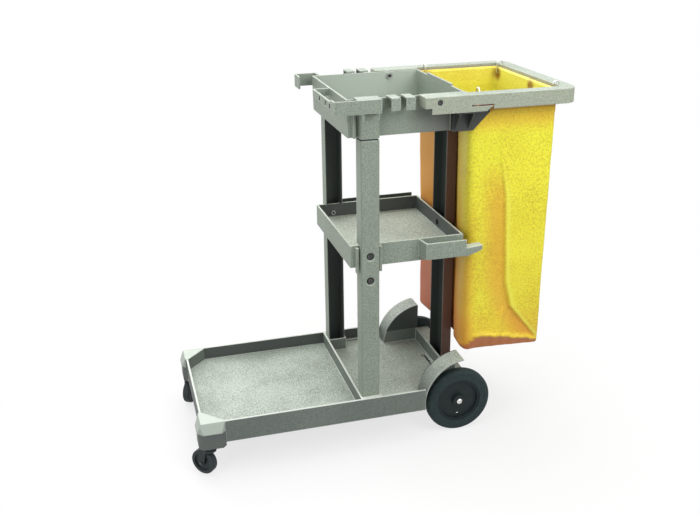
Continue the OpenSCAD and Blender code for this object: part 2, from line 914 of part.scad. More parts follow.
module bag_frame() {
  turn_x = back_x - frame_r;
  turn_y = out_y - frame_r;
  color(plastic)
    difference() {
      union() {
        both_sides() {
          frame_arm();
          translate([0, out_y, 0])
            mirror([0, 1, 0])
              along_x(arm_end_x, turn_x)
                rail_section();
          translate([turn_x, turn_y, 0])
            rotate_extrude(angle = 90)
              translate([frame_r, 0])
                mirror([1, 0])
                  rail_section();
        }
        translate([back_x, 0, 0])
          mirror([1, 0, 0])
            along_y(-turn_y, turn_y)
              rail_section();
      }
      both_sides() {
        cross_bar(pivot_x, pivot_z, tray_y, out_y + over, pivot_d + 2 * run);
        cross_bar(pivot_x, pivot_z, out_y - pin_head_h - over, out_y + over, 1.6 * pivot_d + 2 * hole);
        translate([front_hook_x, bag_y + hook_out, frame_top - frame_t - over])
          cylinder(d = hook_d + 2 * run, h = frame_t + 2 * over);
        translate([bag_x1 + hook_out, rear_hook_y, frame_top - frame_t - over])
          cylinder(d = hook_d + 2 * run, h = frame_t + 2 * over);
      }
    }
}

// Outline of the bag at its mouth, drawn in by a wall thickness for the inside
module bag_plan(inset) {
  rounded_plan(bag_x0 + inset, bag_x1 - inset, bag_y - inset, bag_r - inset);
}

// Bag body: straight hem band, tapered wall and a bevelled foot
module bag_body(inset) {
  low = bag_low + inset;
  bevel = foot_bevel;
  thin = 0.5;
  hem0 = hem_z - hem_h;
  translate([0, 0, hem0])
    linear_extrude(hem_h + (inset > 0 ? over : 0))
      bag_plan(inset);
  hull() {
    translate([0, 0, hem0])
      linear_extrude(thin)
        bag_plan(inset);
    translate([0, 0, low + bevel])
      linear_extrude(thin)
        rounded_plan(
          bag_x0 + foot_x0 + inset, bag_x1 - bag_taper / 2 - inset,
          bag_y - bag_taper - inset, bag_r - inset
        );
    translate([0, 0, low])
      linear_extrude(thin)
        rounded_plan(
          bag_x0 + foot_x0 + bevel / 2 + inset, bag_x1 - bevel / 2 - inset,
          bag_y - bag_taper - bevel / 2 - inset, bag_r - inset
        );
  }
}

// Space that the rear upright and its head press into the front of the bag, from corner to corner
module bag_groove(grow) {
  mouth_y = bag_y - 2 * bag_r;
  translate([grow, 0, bag_low - over])
    linear_extrude(groove_z + grow - bag_low + over)
      polygon([
        [axle_x - bag_r - grow, -out_y], [bag_x0, -mouth_y], [groove_x, -groove_y],
        [groove_x, groove_y], [bag_x0, mouth_y], [axle_x - bag_r - grow, out_y]
      ]);
}

// Cloth of the whole bag with its punched holes
module bag_cloth() {
  difference() {
    bag_body(0);
    bag_groove(0);
    difference() {
      bag_body(bag_t);
      bag_groove(bag_t);
    }
    cross_bar(front_hook_x, eyelet_z, -bag_y - over, bag_y + over, punch_d);
    for (y = [-rear_hook_y, spare_eyelet_y, rear_hook_y])
      long_bar(bag_x1 - 2 * bag_t, bag_x1 + over, y, eyelet_z, punch_d);
  }
}

// Room of the front panel, which takes in the front corners
module front_panel_room(grow) {
  panel_y = bag_y - 2 * bag_taper;
  slab(bag_x0 - over, seam_x + grow, -out_y, out_y, bag_low - over, hem_z + over);
  slab(bag_x0 - over, groove_x + 2 * bag_t, -panel_y, panel_y, bag_low - over, hem_z + over);
}

// Room of the base panel, which takes in the bevelled foot
module base_panel_room(grow) {
  slab(bag_x0 - over, bag_x1 + over, -out_y, out_y, bag_low - over, seam_z + grow);
}

// Back and sides of the bag
module bag() {
  color(vinyl)
    difference() {
      bag_cloth();
      front_panel_room(seam);
      base_panel_room(seam);
    }
}

module bag_front_panel() {
  color(vinyl)
    difference() {
      intersection() {
        bag_cloth();
        front_panel_room(0);
      }
      base_panel_room(seam);
    }
}

module bag_base_panel() {
  color(vinyl)
    intersection() {
      bag_cloth();
      base_panel_room(0);
    }
}

// Eyelet along Z: sleeve through the bag wall with a rolled rim on both faces
module eyelet() {
  rim_t = 1;
  r0 = eyelet_d / 2;
  rotate_extrude() {
    translate([r0, -rim_t])
      square([eyelet_t, bag_t + 2 * rim_t]);
    translate([r0, -rim_t])
      square([eyelet_rim, rim_t - run]);
    translate([r0, bag_t + run])
      square([eyelet_rim, rim_t - run]);
  }
}

module bag_eyelets() {
  color(steel) {
    both_sides()
      translate([front_hook_x, bag_y, eyelet_z])
        rotate([90, 0, 0])
          eyelet();
    for (y = [-rear_hook_y, spare_eyelet_y, rear_hook_y])
      translate([bag_x1 - bag_t, y, eyelet_z])
        rotate([0, 90, 0])
          eyelet();
  }
}

// Wire hook drawn across a bag wall whose outer face is the XZ plane, with the bag on the -Y side
module bag_hook() {
  top = frame_top + hook_rise;
  bend_r = (hook_out + hook_in) / 2;
  tip_z = eyelet_z + eyelet_d / 2 - hook_d / 2 - fit;
  translate([0, hook_out, frame_top - frame_t])
    cylinder(d = hook_d, h = hook_rise + frame_t);
  translate([0, hook_out - bend_r, top])
    rotate([90, 0, 90])
      rotate_extrude(angle = 180)
        translate([bend_r, 0])
          circle(d = hook_d, $fn = 24);
  translate([0, -hook_in, tip_z])
    cylinder(d = hook_d, h = top - tip_z);
  translate([0, -hook_in, tip_z])
    sphere(d = hook_d);
  cross_bar(0, tip_z, -hook_in, 2, hook_d);
}

module bag_hooks() {
  color(steel)
    both_sides() {
      translate([front_hook_x, bag_y, 0])
        bag_hook();
      translate([bag_x1, rear_hook_y, 0])
        rotate([0, 0, -90])
          bag_hook();
    }
}

// Pins on which the frame folds, with their nuts inside the tray
module pivot_pins() {
  color(steel)
    both_sides() {
      cross_bar(pivot_x, pivot_z, tray_y - tray_t - pivot_d, out_y - pin_head_h, pivot_d);
      cross_bar(pivot_x, pivot_z, out_y - pin_head_h - over + hole, out_y - over, 1.6 * pivot_d);
    }
}

module hex_nut(d, h) {
  difference() {
    cylinder(d = 1.9 * d, h = h, $fn = 6);
    translate([0, 0, -over])
      cylinder(d = d + 2 * run, h = h + 2 * over);
  }
}

module pivot_nuts() {
  nut_h = 0.7 * pivot_d;
  color(steel)
    both_sides()
      translate([pivot_x, tray_y - tray_t - hole, pivot_z])
        rotate([90, 0, 0])
          hex_nut(pivot_d, nut_h);
}

module side_shelf_bolts() {
  head_h = 0.65 * bolt_d;
  seat_y = side_y1 - recess_h + hole;
  color(steel)
    both_sides()
      for (z = [bolt1_z, bolt2_z]) {
        cross_bar(bolt_x, z, brace_y0 - bolt_d, seat_y + over, bolt_d);
        difference() {
          cross_bar(bolt_x, z, seat_y, seat_y + head_h, 1.9 * bolt_d);
          along_y(seat_y + head_h / 2, seat_y + head_h + over)
            translate([bolt_x, z])
              circle(d = 0.8 * bolt_d, $fn = 6);
        }
      }
}

module side_shelf_nuts() {
  nut_h = 0.7 * bolt_d;
  color(steel)
    both_sides()
      for (z = [bolt1_z, bolt2_z])
        translate([bolt_x, brace_y0 - hole, z])
          rotate([90, 0, 0])
            hex_nut(bolt_d, nut_h);
}

module rear_shelf_bolt() {
  head_h = 0.65 * bolt_d;
  seat_x = axle_x - fit - shelf_t - hole;
  color(steel) {
    long_bar(seat_x - over, rear_x1 - 3 * channel_t, 0, rear_bolt_z, bolt_d);
    long_bar(seat_x - head_h, seat_x, 0, rear_bolt_z, 1.9 * bolt_d);
  }
}

module tray_bolts() {
  head_h = 0.65 * screw_d;
  seat_x = axle_x - tray_gap - tray_t - hole;
  color(steel)
    for (y = [-rear_w / 4, rear_w / 4]) {
      long_bar(seat_x - over, rear_x1 + screw_d, y, tray_z + spigot_l / 2, screw_d);
      long_bar(seat_x - head_h, seat_x, y, tray_z + spigot_l / 2, 1.9 * screw_d);
    }
}

module tray_nuts() {
  nut_h = 0.7 * screw_d;
  color(steel)
    for (y = [-rear_w / 4, rear_w / 4])
      translate([rear_x1 + hole, y, tray_z + spigot_l / 2])
        rotate([0, 90, 0])
          hex_nut(screw_d, nut_h);
}

// Screw driven up through the deck into the foot of an upright
module foot_screw() {
  head_h = 0.65 * screw_d;
  foot_t = 6;
  translate([0, 0, deck_z - deck_t - hole - head_h])
    cylinder(d = 1.9 * screw_d, h = head_h);
  translate([0, 0, deck_z - deck_t - hole - over])
    cylinder(d = screw_d, h = deck_t + foot_t + 2 * over);
}

module foot_screws() {
  color(steel)
    both_sides() {
      translate([bolt_x, (side_y0 + side_y1) / 2, 0])
        foot_screw();
      translate([axle_x + rear_d / 2, rear_w / 4, 0])
        foot_screw();
    }
}

module rear_axle() {
  color(steel)
    cross_bar(axle_x, wheel_r, -wheel_face - 7, wheel_face + 7, axle_d);
}

module axle_washers() {
  color(steel)
    both_sides()
      along_y(fender_y + hole, fender_y + hole + washer_t)
        translate([axle_x, wheel_r])
          difference() {
            circle(d = 2.2 * axle_d);
            circle(d = axle_d + 2 * hole);
          }
}

// Domed cap pressed on an axle end
module axle_cap() {
  r = axle_d * 0.7;
  translate([axle_x, wheel_face + hole, wheel_r])
    rotate([-90, 0, 0])
      difference() {
        rotate_extrude()
          intersection() {
            translate([0, 9 - 1.4 * r])
              circle(r = 1.4 * r);
            square([r, 10]);
          }
        translate([0, 0, -over])
          cylinder(d = axle_d + 2 * run, h = 7 + over);
      }
}

module axle_caps() {
  color(steel)
    both_sides()
      axle_cap();
}

// Hub: rim, dished web with a sight hole, and a central boss on the axle
module wheel_hub() {
  r = hub_d / 2;
  boss_r = 1.5 * axle_d;
  rim_t = 7;
  web_y0 = wheel_face - 16;
  web_t = 5;
  sight_d = 10;
  translate([axle_x, wheel_in_y, wheel_r])
    rotate([-90, 0, 0])
      difference() {
        rotate_extrude($fn = 96)
          union() {
            translate([axle_d / 2 + run, 0])
              square([boss_r - axle_d / 2 - run, wheel_w]);
            translate([boss_r - over, web_y0 - wheel_in_y])
              square([r - rim_t - boss_r + 2 * over, web_t]);
            translate([r - rim_t, 3])
              square([rim_t, wheel_w - 6]);
          }
        translate([0, r - rim_t - sight_d, 0])
          cylinder(d = sight_d, h = wheel_w);
      }
}

// Tyre section revolved round the hub, with rounded shoulders
module tyre_ring(r_in, r_out, w) {
  shoulder = shoulder_r(r_in, r_out, w);
  rotate_extrude($fn = 128)
    union() {
      translate([r_in, 0])
        square([r_out - shoulder - r_in, w]);
      translate([r_in, shoulder])
        square([r_out - r_in, w - 2 * shoulder]);
      for (y = [shoulder, w - shoulder])
        translate([r_out - shoulder, y])
          circle(r = shoulder);
    }
}

module wheel_tyre() {
  translate([axle_x, wheel_in_y, wheel_r])
    rotate([-90, 0, 0])
      tyre_ring(hub_d / 2, wheel_r, wheel_w);
}

module left_wheel_hub() {
  color(dark)
    mirror([0, 1, 0])
      wheel_hub();
}

module left_wheel_tyre() {
  color(rubber)
    mirror([0, 1, 0])
      wheel_tyre();
}

module right_wheel_hub() {
  color(dark)
    wheel_hub();
}

module right_wheel_tyre() {
  color(rubber)
    wheel_tyre();
}

// Places a caster piece, drawn trailing along +X, on the left or right swivel axis
module at_left_caster() {
  translate([stem_x, -stem_y, 0])
    rotate([0, 0, left_turn])
      children();
}

module at_right_caster() {
  translate([stem_x, stem_y, 0])
    rotate([0, 0, right_turn])
      children();
}

// Stem pressed into the housing, with a flange under it and a riveted foot under the fork crown
module caster_stem() {
  color(steel) {
    translate([0, 0, crown_z - fit])
      cylinder(d = stem_d, h = housing_z + stem_up - crown_z + fit);
    translate([0, 0, housing_z - flange_t])
      cylinder(d = 3.2 * stem_d, h = flange_t - run);
    translate([0, 0, crown_z - fit - 3])
      cylinder(d = 1.5 * stem_d, h = 3 + run);
  }
}

module caster_race() {
  color(dark)
    translate([0, 0, crown_z + crown_t + fit])
      difference() {
        cylinder(d = 3 * stem_d, h = race_t - run);
        translate([0, 0, -over])
          cylinder(d = stem_d + 2 * hole, h = race_t + 2 * over);
      }
}

// Fork: round crown, front hood and two arms down to the axle
module caster_fork() {
  arm_r = 9;
  crown_d = 3.4 * stem_d;
  color(dark)
    difference() {
      union() {
        translate([0, 0, crown_z])
          cylinder(d = crown_d, h = crown_t);
        slab(0, caster_trail, -fork_y - fork_t, fork_y + fork_t, crown_z, crown_z + crown_t);
        both_sides()
          along_y(fork_y, fork_y + fork_t) {
            translate([caster_trail, caster_r])
              circle(r = arm_r);
            polygon([
              [2, crown_z + crown_t], [caster_trail - arm_r, caster_r],
              [caster_trail + arm_r, caster_r], [caster_trail + 3, crown_z + crown_t]
            ]);
          }
      }
      translate([0, 0, crown_z - over])
        cylinder(d = stem_d + 2 * run, h = crown_t + 2 * over);
      cross_bar(caster_trail, caster_r, -out_y, out_y, caster_axle_d + 2 * run);
    }
}

module caster_axle() {
  head_t = 2.5;
  face_y = fork_y + fork_t + hole;
  color(steel) {
    cross_bar(caster_trail, caster_r, -face_y - over, face_y + over, caster_axle_d);
    both_sides()
      cross_bar(caster_trail, caster_r, face_y, face_y + head_t, 1.7 * caster_axle_d);
  }
}

module caster_hub() {
  r = caster_hub_r;
  boss_r = 1.5 * caster_axle_d;
  color(dark)
    translate([caster_trail, -caster_w / 2, caster_r])
      rotate([-90, 0, 0])
        rotate_extrude($fn = 96)
          union() {
            translate([caster_axle_d / 2 + run, 0])
              square([boss_r - caster_axle_d / 2 - run, caster_w]);
            translate([boss_r - over, caster_w / 4])
              square([r - boss_r + over, caster_w / 2]);
          }
}

module caster_tyre() {
  color(rubber)
    translate([caster_trail, 1 - caster_w / 2, caster_r])
      rotate([-90, 0, 0])
        tyre_ring(caster_hub_r, caster_r, tyre_w);
}

module left_caster_stem() {
  at_left_caster()
    caster_stem();
}

module left_caster_race() {
  at_left_caster()
    caster_race();
}

module left_caster_fork() {
  at_left_caster()
    caster_fork();
}

module left_caster_axle() {
  at_left_caster()
    caster_axle();
}

module left_caster_hub() {
  at_left_caster()
    caster_hub();
}

module left_caster_tyre() {
  at_left_caster()
    caster_tyre();
}

module right_caster_stem() {
  at_right_caster()
    caster_stem();
}

module right_caster_race() {
  at_right_caster()
    caster_race();
}

module right_caster_fork() {
  at_right_caster()
    caster_fork();
}

module right_caster_axle() {
  at_right_caster()
    caster_axle();
}

module right_caster_hub() {
  at_right_caster()
    caster_hub();
}

module right_caster_tyre() {
  at_right_caster()
    caster_tyre();
}

base_platform();
left_upright();
right_upright();
rear_upright();
middle_shelf();
top_tray();
bag_frame();
bag();
bag_front_panel();
bag_base_panel();
bag_hooks();
bag_eyelets();
pivot_pins();
pivot_nuts();
side_shelf_bolts();
side_shelf_nuts();
rear_shelf_bolt();
tray_bolts();
tray_nuts();
foot_screws();
rear_axle();
axle_washers();
axle_caps();
left_wheel_hub();
left_wheel_tyre();
right_wheel_hub();
right_wheel_tyre();
left_caster_stem();
left_caster_race();
left_caster_fork();
left_caster_axle();
left_caster_hub();
left_caster_tyre();
right_caster_stem();
right_caster_race();
right_caster_fork();
right_caster_axle();
right_caster_hub();
right_caster_tyre();
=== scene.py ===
import json
import math

import bpy
import numpy as np
from mathutils import Matrix, Vector, noise


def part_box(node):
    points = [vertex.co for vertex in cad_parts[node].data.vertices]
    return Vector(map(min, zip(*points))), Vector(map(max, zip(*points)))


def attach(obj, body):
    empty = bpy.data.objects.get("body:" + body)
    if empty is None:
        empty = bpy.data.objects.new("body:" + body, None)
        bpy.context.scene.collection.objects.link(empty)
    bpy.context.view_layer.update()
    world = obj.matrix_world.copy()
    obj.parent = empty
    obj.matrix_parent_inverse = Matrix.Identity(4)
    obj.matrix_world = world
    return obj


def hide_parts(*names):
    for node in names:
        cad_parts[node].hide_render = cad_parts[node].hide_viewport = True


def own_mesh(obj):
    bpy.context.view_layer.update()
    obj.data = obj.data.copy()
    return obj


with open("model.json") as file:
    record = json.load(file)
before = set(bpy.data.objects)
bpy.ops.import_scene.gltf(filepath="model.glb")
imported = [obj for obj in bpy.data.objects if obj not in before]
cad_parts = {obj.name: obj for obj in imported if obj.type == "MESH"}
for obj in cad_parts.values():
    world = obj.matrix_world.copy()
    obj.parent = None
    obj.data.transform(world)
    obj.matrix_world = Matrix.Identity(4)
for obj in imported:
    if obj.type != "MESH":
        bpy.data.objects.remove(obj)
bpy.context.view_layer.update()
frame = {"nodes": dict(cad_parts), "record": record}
nodes = frame["nodes"]
print("frame loaded:", len(nodes), "nodes")

axleLow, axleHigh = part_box("rear_axle")
axleX = (axleLow.x + axleHigh.x) / 2  # places below are measured back from the rear axle


def deselectAll():
    if bpy.context.object and bpy.context.object.mode != "OBJECT":
        bpy.ops.object.mode_set(mode="OBJECT")
    bpy.ops.object.select_all(action="DESELECT")


def makeActive(obj):
    deselectAll()
    obj.select_set(True)
    bpy.context.view_layer.objects.active = obj


shot = {
    "behindAxle": -0.9385, "side": -2.3837, "height": 1.4917,
    "turn": 0.270, "tilt": 0.374, "roll": -0.012,  # radians
    "focal": 892.9, "imageWidth": 700,  # pixels
    "sensor": 36, "sightLimit": 100,
}


def placeCamera(s):
    look = Vector((
        math.sin(s["turn"]) * math.cos(s["tilt"]),
        math.cos(s["turn"]) * math.cos(s["tilt"]),
        -math.sin(s["tilt"]),
    ))
    right = look.cross(Vector((0, 0, 1))).normalized()
    up = right.cross(look)
    c, n = math.cos(s["roll"]), math.sin(s["roll"])
    right, up = c * right + n * up, c * up - n * right
    camera = bpy.data.objects.new("shotCamera", bpy.data.cameras.new("shotCamera"))
    bpy.context.scene.collection.objects.link(camera)
    turn = Matrix((right, up, -look)).transposed().to_4x4()
    place = (axleX + s["behindAxle"], s["side"], s["height"])
    camera.matrix_world = Matrix.Translation(place) @ turn
    camera.data.sensor_width = s["sensor"]
    camera.data.lens = s["focal"] / s["imageWidth"] * s["sensor"]
    camera.data.clip_end = s["sightLimit"]
    bpy.context.scene.camera = camera


placeCamera(shot)


# a value goes to the node's setting of that name, or else to its socket
def addNode(tree, kind, **values):
    node = tree.nodes.new(kind)
    for key, value in values.items():
        if hasattr(node, key):
            setattr(node, key, value)
        else:
            node.inputs[key.replace("_", " ")].default_value = value
    return node


def newMaterial(name):
    material = bpy.data.materials.new(name)
    material.use_nodes = True
    tree = material.node_tree
    return material, tree, tree.nodes["Principled BSDF"], addNode(tree, "ShaderNodeTexCoord")


def join(tree, source, out, target, into):
    tree.links.new(source.outputs[out], target.inputs[into])


def ramp(tree, source, stops):
    node = tree.nodes.new("ShaderNodeValToRGB")
    while len(node.color_ramp.elements) < len(stops):
        node.color_ramp.elements.new(0.5)
    for element, (place, colour) in zip(node.color_ramp.elements, stops):
        element.position = place
        element.color = (*colour, 1)
    tree.links.new(source, node.inputs["Fac"])
    return node.outputs["Color"]


# a Mix node has its colours at inputs 6 and 7 and output 2, and its numbers at 2, 3 and 0
def mixColours(tree, share, first, second):
    mixed = addNode(tree, "ShaderNodeMix", data_type="RGBA")
    tree.links.new(share, mixed.inputs[0])
    for socket, colour in ((mixed.inputs[6], first), (mixed.inputs[7], second)):
        if isinstance(colour, tuple):
            socket.default_value = (*colour, 1)
        else:
            tree.links.new(colour, socket)
    return mixed.outputs[2]


def mixNoises(tree, share, first, second):
    mixed = addNode(tree, "ShaderNodeMix", data_type="FLOAT")
    mixed.inputs[0].default_value = share
    tree.links.new(first.outputs["Fac"], mixed.inputs[2])
    tree.links.new(second.outputs["Fac"], mixed.inputs[3])
    return mixed.outputs[0]


def noiseOn(tree, coords, scale, detail, rough=0.5):
    texture = addNode(tree, "ShaderNodeTexNoise", Scale=scale, Detail=detail, Roughness=rough)
    join(tree, coords, "Object", texture, "Vector")
    return texture


def spread(tree, source, out, **limits):
    node = addNode(tree, "ShaderNodeMapRange", **limits)
    join(tree, source, out, node, "Value")
    return node


def roughFrom(tree, shader, texture, least, most):
    rough = spread(tree, texture, "Fac", To_Min=least, To_Max=most)
    join(tree, rough, "Result", shader, "Roughness")


def bumpFrom(tree, source, out, strength, distance):
    bump = addNode(tree, "ShaderNodeBump", Strength=strength, Distance=distance)
    join(tree, source, out, bump, "Height")
    return bump


studio = {
    "floorSize": 40, "floorColour": (0.80, 0.80, 0.80), "floorGlow": (0.45, 0.45, 0.45),
    "grain": (3.0, 2.0), "grainStops": (0.3, 0.7), "grainTone": 0.985,
    "floorRough": 0.9, "floorGloss": 0.1,
    "floorWhite": 0.74, "whiteFrom": 0.55, "whiteTo": 1.15,  # share of white, and where it grows
    "skyColour": (1, 1, 1, 1), "skyLight": 0.15,
    "aim": (0, 0, 0.5),
    "lamps": {  # place, size, power
        "topLight": ((-0.1, 0.2, 3.7), 3.4, 118),
        "backLight": ((-1.0, 3.0, 2.3), 2.6, 80),
        "sideLight": ((1.0, -1.7, 2.0), 1.5, 32),
        "frontLight": ((-2.7, -1.9, 1.7), 2.0, 33),
    },
}


def areaLight(name, place, size, power, aim):
    lamp = bpy.data.objects.new(name, bpy.data.lights.new(name, "AREA"))
    lamp.data.size = size
    lamp.data.energy = power
    lamp.location = place
    lamp.rotation_euler = (Vector(aim) - Vector(place)).to_track_quat("-Z", "Y").to_euler()
    bpy.context.scene.collection.objects.link(lamp)


def seenDirectly(tree):
    path = addNode(tree, "ShaderNodeLightPath")
    sharp = addNode(tree, "ShaderNodeMath", operation="MAXIMUM")
    clear = addNode(tree, "ShaderNodeMath", operation="MAXIMUM")
    join(tree, path, "Is Camera Ray", sharp, 0)
    join(tree, path, "Is Glossy Ray", sharp, 1)
    join(tree, sharp, "Value", clear, 0)
    join(tree, path, "Is Transmission Ray", clear, 1)
    return clear


def paleFloor(s):
    material, tree, shader, coords = newMaterial("paleFloor")
    grain = noiseOn(tree, coords, *s["grain"])
    tones = (s["floorColour"], tuple(c * s["grainTone"] for c in s["floorColour"]))
    tone = ramp(tree, grain.outputs["Fac"], list(zip(s["grainStops"], tones)))
    direct = seenDirectly(tree)
    colour = mixColours(tree, direct.outputs["Value"], s["floorGlow"], tone)
    tree.links.new(colour, shader.inputs["Base Color"])
    shader.inputs["Roughness"].default_value = s["floorRough"]
    shader.inputs["Specular IOR Level"].default_value = s["floorGloss"]
    far = addNode(tree, "ShaderNodeVectorMath", operation="LENGTH")
    join(tree, coords, "Object", far, 0)
    share = spread(
        tree, far, "Value", interpolation_type="SMOOTHSTEP",
        From_Min=s["whiteFrom"], From_Max=s["whiteTo"], To_Min=s["floorWhite"])
    shown = addNode(tree, "ShaderNodeMath", operation="MULTIPLY")
    join(tree, share, "Result", shown, 0)
    join(tree, direct, "Value", shown, 1)
    white = addNode(tree, "ShaderNodeEmission")
    mixed = addNode(tree, "ShaderNodeMixShader")
    join(tree, shown, "Value", mixed, 0)
    join(tree, shader, "BSDF", mixed, 1)
    join(tree, white, "Emission", mixed, 2)
    join(tree, mixed, "Shader", tree.nodes["Material Output"], "Surface")
    return material


def buildStudio(s):
    deselectAll()
    bpy.ops.mesh.primitive_plane_add(size=s["floorSize"], location=(0, 0, 0))
    floor = bpy.context.object
    floor.name = "floor"
    floor.data.materials.append(paleFloor(s))
    world = bpy.data.worlds.new("studioSky")
    bpy.context.scene.world = world
    world.use_nodes = True
    tree = world.node_tree
    sky = tree.nodes["Background"]
    sky.inputs["Color"].default_value = s["skyColour"]
    level = spread(tree, seenDirectly(tree), "Value", To_Min=s["skyLight"], To_Max=1.0)
    join(tree, level, "Result", sky, "Strength")
    for name, (place, size, power) in s["lamps"].items():
        areaLight(name, place, size, power, s["aim"])
    bpy.context.scene.view_settings.view_transform = "Standard"


buildStudio(studio)
print("camera, floor and light set")


plastic = {
    "light": (0.325, 0.378, 0.310), "dark": (0.285, 0.334, 0.273), "bodyStops": (0.32, 0.68),
    "fleck": (0.115, 0.138, 0.112), "fleckStops": (0.34, 0.58), "fleckMost": 0.62,
    "scuffedAndTopLit": (0.46, 0.515, 0.440), "speck": (0.30, 0.340, 0.285), "speckStops": (0.40, 0.58),
    "patchShare": 0.4, "upwardFrom": 0.25, "upwardTo": 0.85,  # painted top light, and scuffs, only on faces that look up
    "patch": (7, 5.0, 0.6), "flecks": (330, 2.0, 0.7),  # scale, detail, roughness of the noise
    "grain": (900, 3.0, 0.6), "specks": (260, 1.0, 0.5),
    # edges are painted lighter: wear, and a painted highlight along rims and bevels
    "edgeRadius": 0.0028, "edgeSamples": 6, "wearAndHighlight": (0.73, 0.77, 0.71),
    "edgeFrom": 0.99, "edgeTo": 0.84, "edgeMost": 0.85,
    "rough": (0.46, 0.62), "bump": (0.22, 0.0005),
    # painted light and shade for boxes of faces: deep, shade, dim, skirt and half are painted
    # shade, the pale, cap, crown and rim tones painted light
    "tones": {
        "deep": (0.030, 0.034, 0.031), "shade": (0.050, 0.064, 0.058), "dim": (0.076, 0.086, 0.081),
        "skirt": (0.105, 0.122, 0.113), "half": (0.15, 0.163, 0.145), "pale": (0.42, 0.475, 0.410),
        "cap": (0.42, 0.475, 0.415), "crown": (0.50, 0.550, 0.490), "rim": (0.63, 0.670, 0.610),
    },
    "sharp": 0.0002, "fades": {"half": 0.05},  # how softly a painted tone begins at its front end
}
# the rear upright painted dark brown all over: painted shade, and a painted reflection of the
# yellow bag
shadedRearPlastic = dict(
    plastic, light=(0.175, 0.090, 0.066), dark=(0.140, 0.074, 0.055),
    fleck=(0.09, 0.050, 0.035), scuffedAndTopLit=(0.20, 0.19, 0.175), wearAndHighlight=(0.22, 0.20, 0.18),
)
# the shelf floor painted much lighter: painted light under the tray, with scuffs
litShelfPlastic = dict(plastic, scuffedAndTopLit=(0.82, 0.900, 0.77), speck=(0.62, 0.690, 0.585))
# the frame painted lighter than the other mouldings: painted light
litFramePlastic = dict(plastic, light=(0.440, 0.480, 0.375), dark=(0.390, 0.430, 0.330))
# the base painted darker, with lighter tops and edges: painted shade on its sides, painted light on
# its tops and rims
shadedAndLitBasePlastic = dict(
    plastic, light=(0.190, 0.222, 0.195), dark=(0.150, 0.178, 0.156), fleck=(0.075, 0.090, 0.079),
    scuffedAndTopLit=(0.53, 0.595, 0.510), speck=(0.275, 0.314, 0.265),
    edgeRadius=0.0040, wearAndHighlight=(0.85, 0.89, 0.83),
)


def insideBox(tree, coords, low, high, sharp, fade):
    axes = addNode(tree, "ShaderNodeSeparateXYZ")
    join(tree, coords, "Object", axes, "Vector")
    mask = None
    for axis in range(3):
        for limit, way in ((low[axis], 1), (high[axis], -1)):
            soft = way * (fade if (axis, way) == (0, 1) else sharp)
            side = spread(tree, axes, axis, From_Min=limit - soft, From_Max=limit + soft)
            if mask:
                both = addNode(tree, "ShaderNodeMath", operation="MULTIPLY")
                join(tree, mask, 0, both, 0)
                join(tree, side, 0, both, 1)
                side = both
            mask = side
    return mask.outputs[0]


def greyPlastic(s, name, toned=()):
    material, tree, shader, coords = newMaterial(name)
    patch = noiseOn(tree, coords, *s["patch"])
    flecks = noiseOn(tree, coords, *s["flecks"])
    grain = noiseOn(tree, coords, *s["grain"])
    specks = noiseOn(tree, coords, *s["specks"])
    body = ramp(tree, patch.outputs["Fac"], list(zip(s["bodyStops"], (s["dark"], s["light"]))))
    fleckTones = ((s["fleckMost"],) * 3, (0, 0, 0))
    fleckMask = ramp(tree, flecks.outputs["Fac"], list(zip(s["fleckStops"], fleckTones)))
    worn = mixNoises(tree, s["patchShare"], specks, patch)
    speckled = ramp(tree, worn, list(zip(s["speckStops"], (s["speck"], s["scuffedAndTopLit"]))))
    # faces that look up get the lighter tone: scuffs and painted top light
    flat = addNode(tree, "ShaderNodeNewGeometry")
    way = addNode(tree, "ShaderNodeSeparateXYZ")
    join(tree, flat, "True Normal", way, "Vector")
    upward = spread(tree, way, "Z", From_Min=s["upwardFrom"], From_Max=s["upwardTo"])
    colour = mixColours(tree, upward.outputs["Result"], body, speckled)
    colour = mixColours(tree, fleckMask, colour, s["fleck"])
    # rounded edges painted lighter: wear and a painted highlight
    rounded = addNode(tree, "ShaderNodeBevel", samples=s["edgeSamples"], Radius=s["edgeRadius"])
    turn = addNode(tree, "ShaderNodeVectorMath", operation="DOT_PRODUCT")
    join(tree, rounded, "Normal", turn, 0)
    join(tree, flat, "True Normal", turn, 1)
    edge = spread(
        tree, turn, "Value", From_Min=s["edgeFrom"], From_Max=s["edgeTo"], To_Max=s["edgeMost"])
    colour = mixColours(tree, edge.outputs["Result"], colour, s["wearAndHighlight"])
    # boxes of painted light and painted shade
    for low, high, tone in toned:
        fade = s["fades"].get(tone, s["sharp"])
        inside = insideBox(tree, coords, low, high, s["sharp"], fade)
        colour = mixColours(tree, inside, colour, s["tones"][tone])
    tree.links.new(colour, shader.inputs["Base Color"])
    roughFrom(tree, shader, grain, *s["rough"])
    bump = bumpFrom(tree, grain, "Fac", *s["bump"])
    join(tree, rounded, "Normal", bump, "Normal")
    join(tree, bump, "Normal", shader, "Normal")
    return material


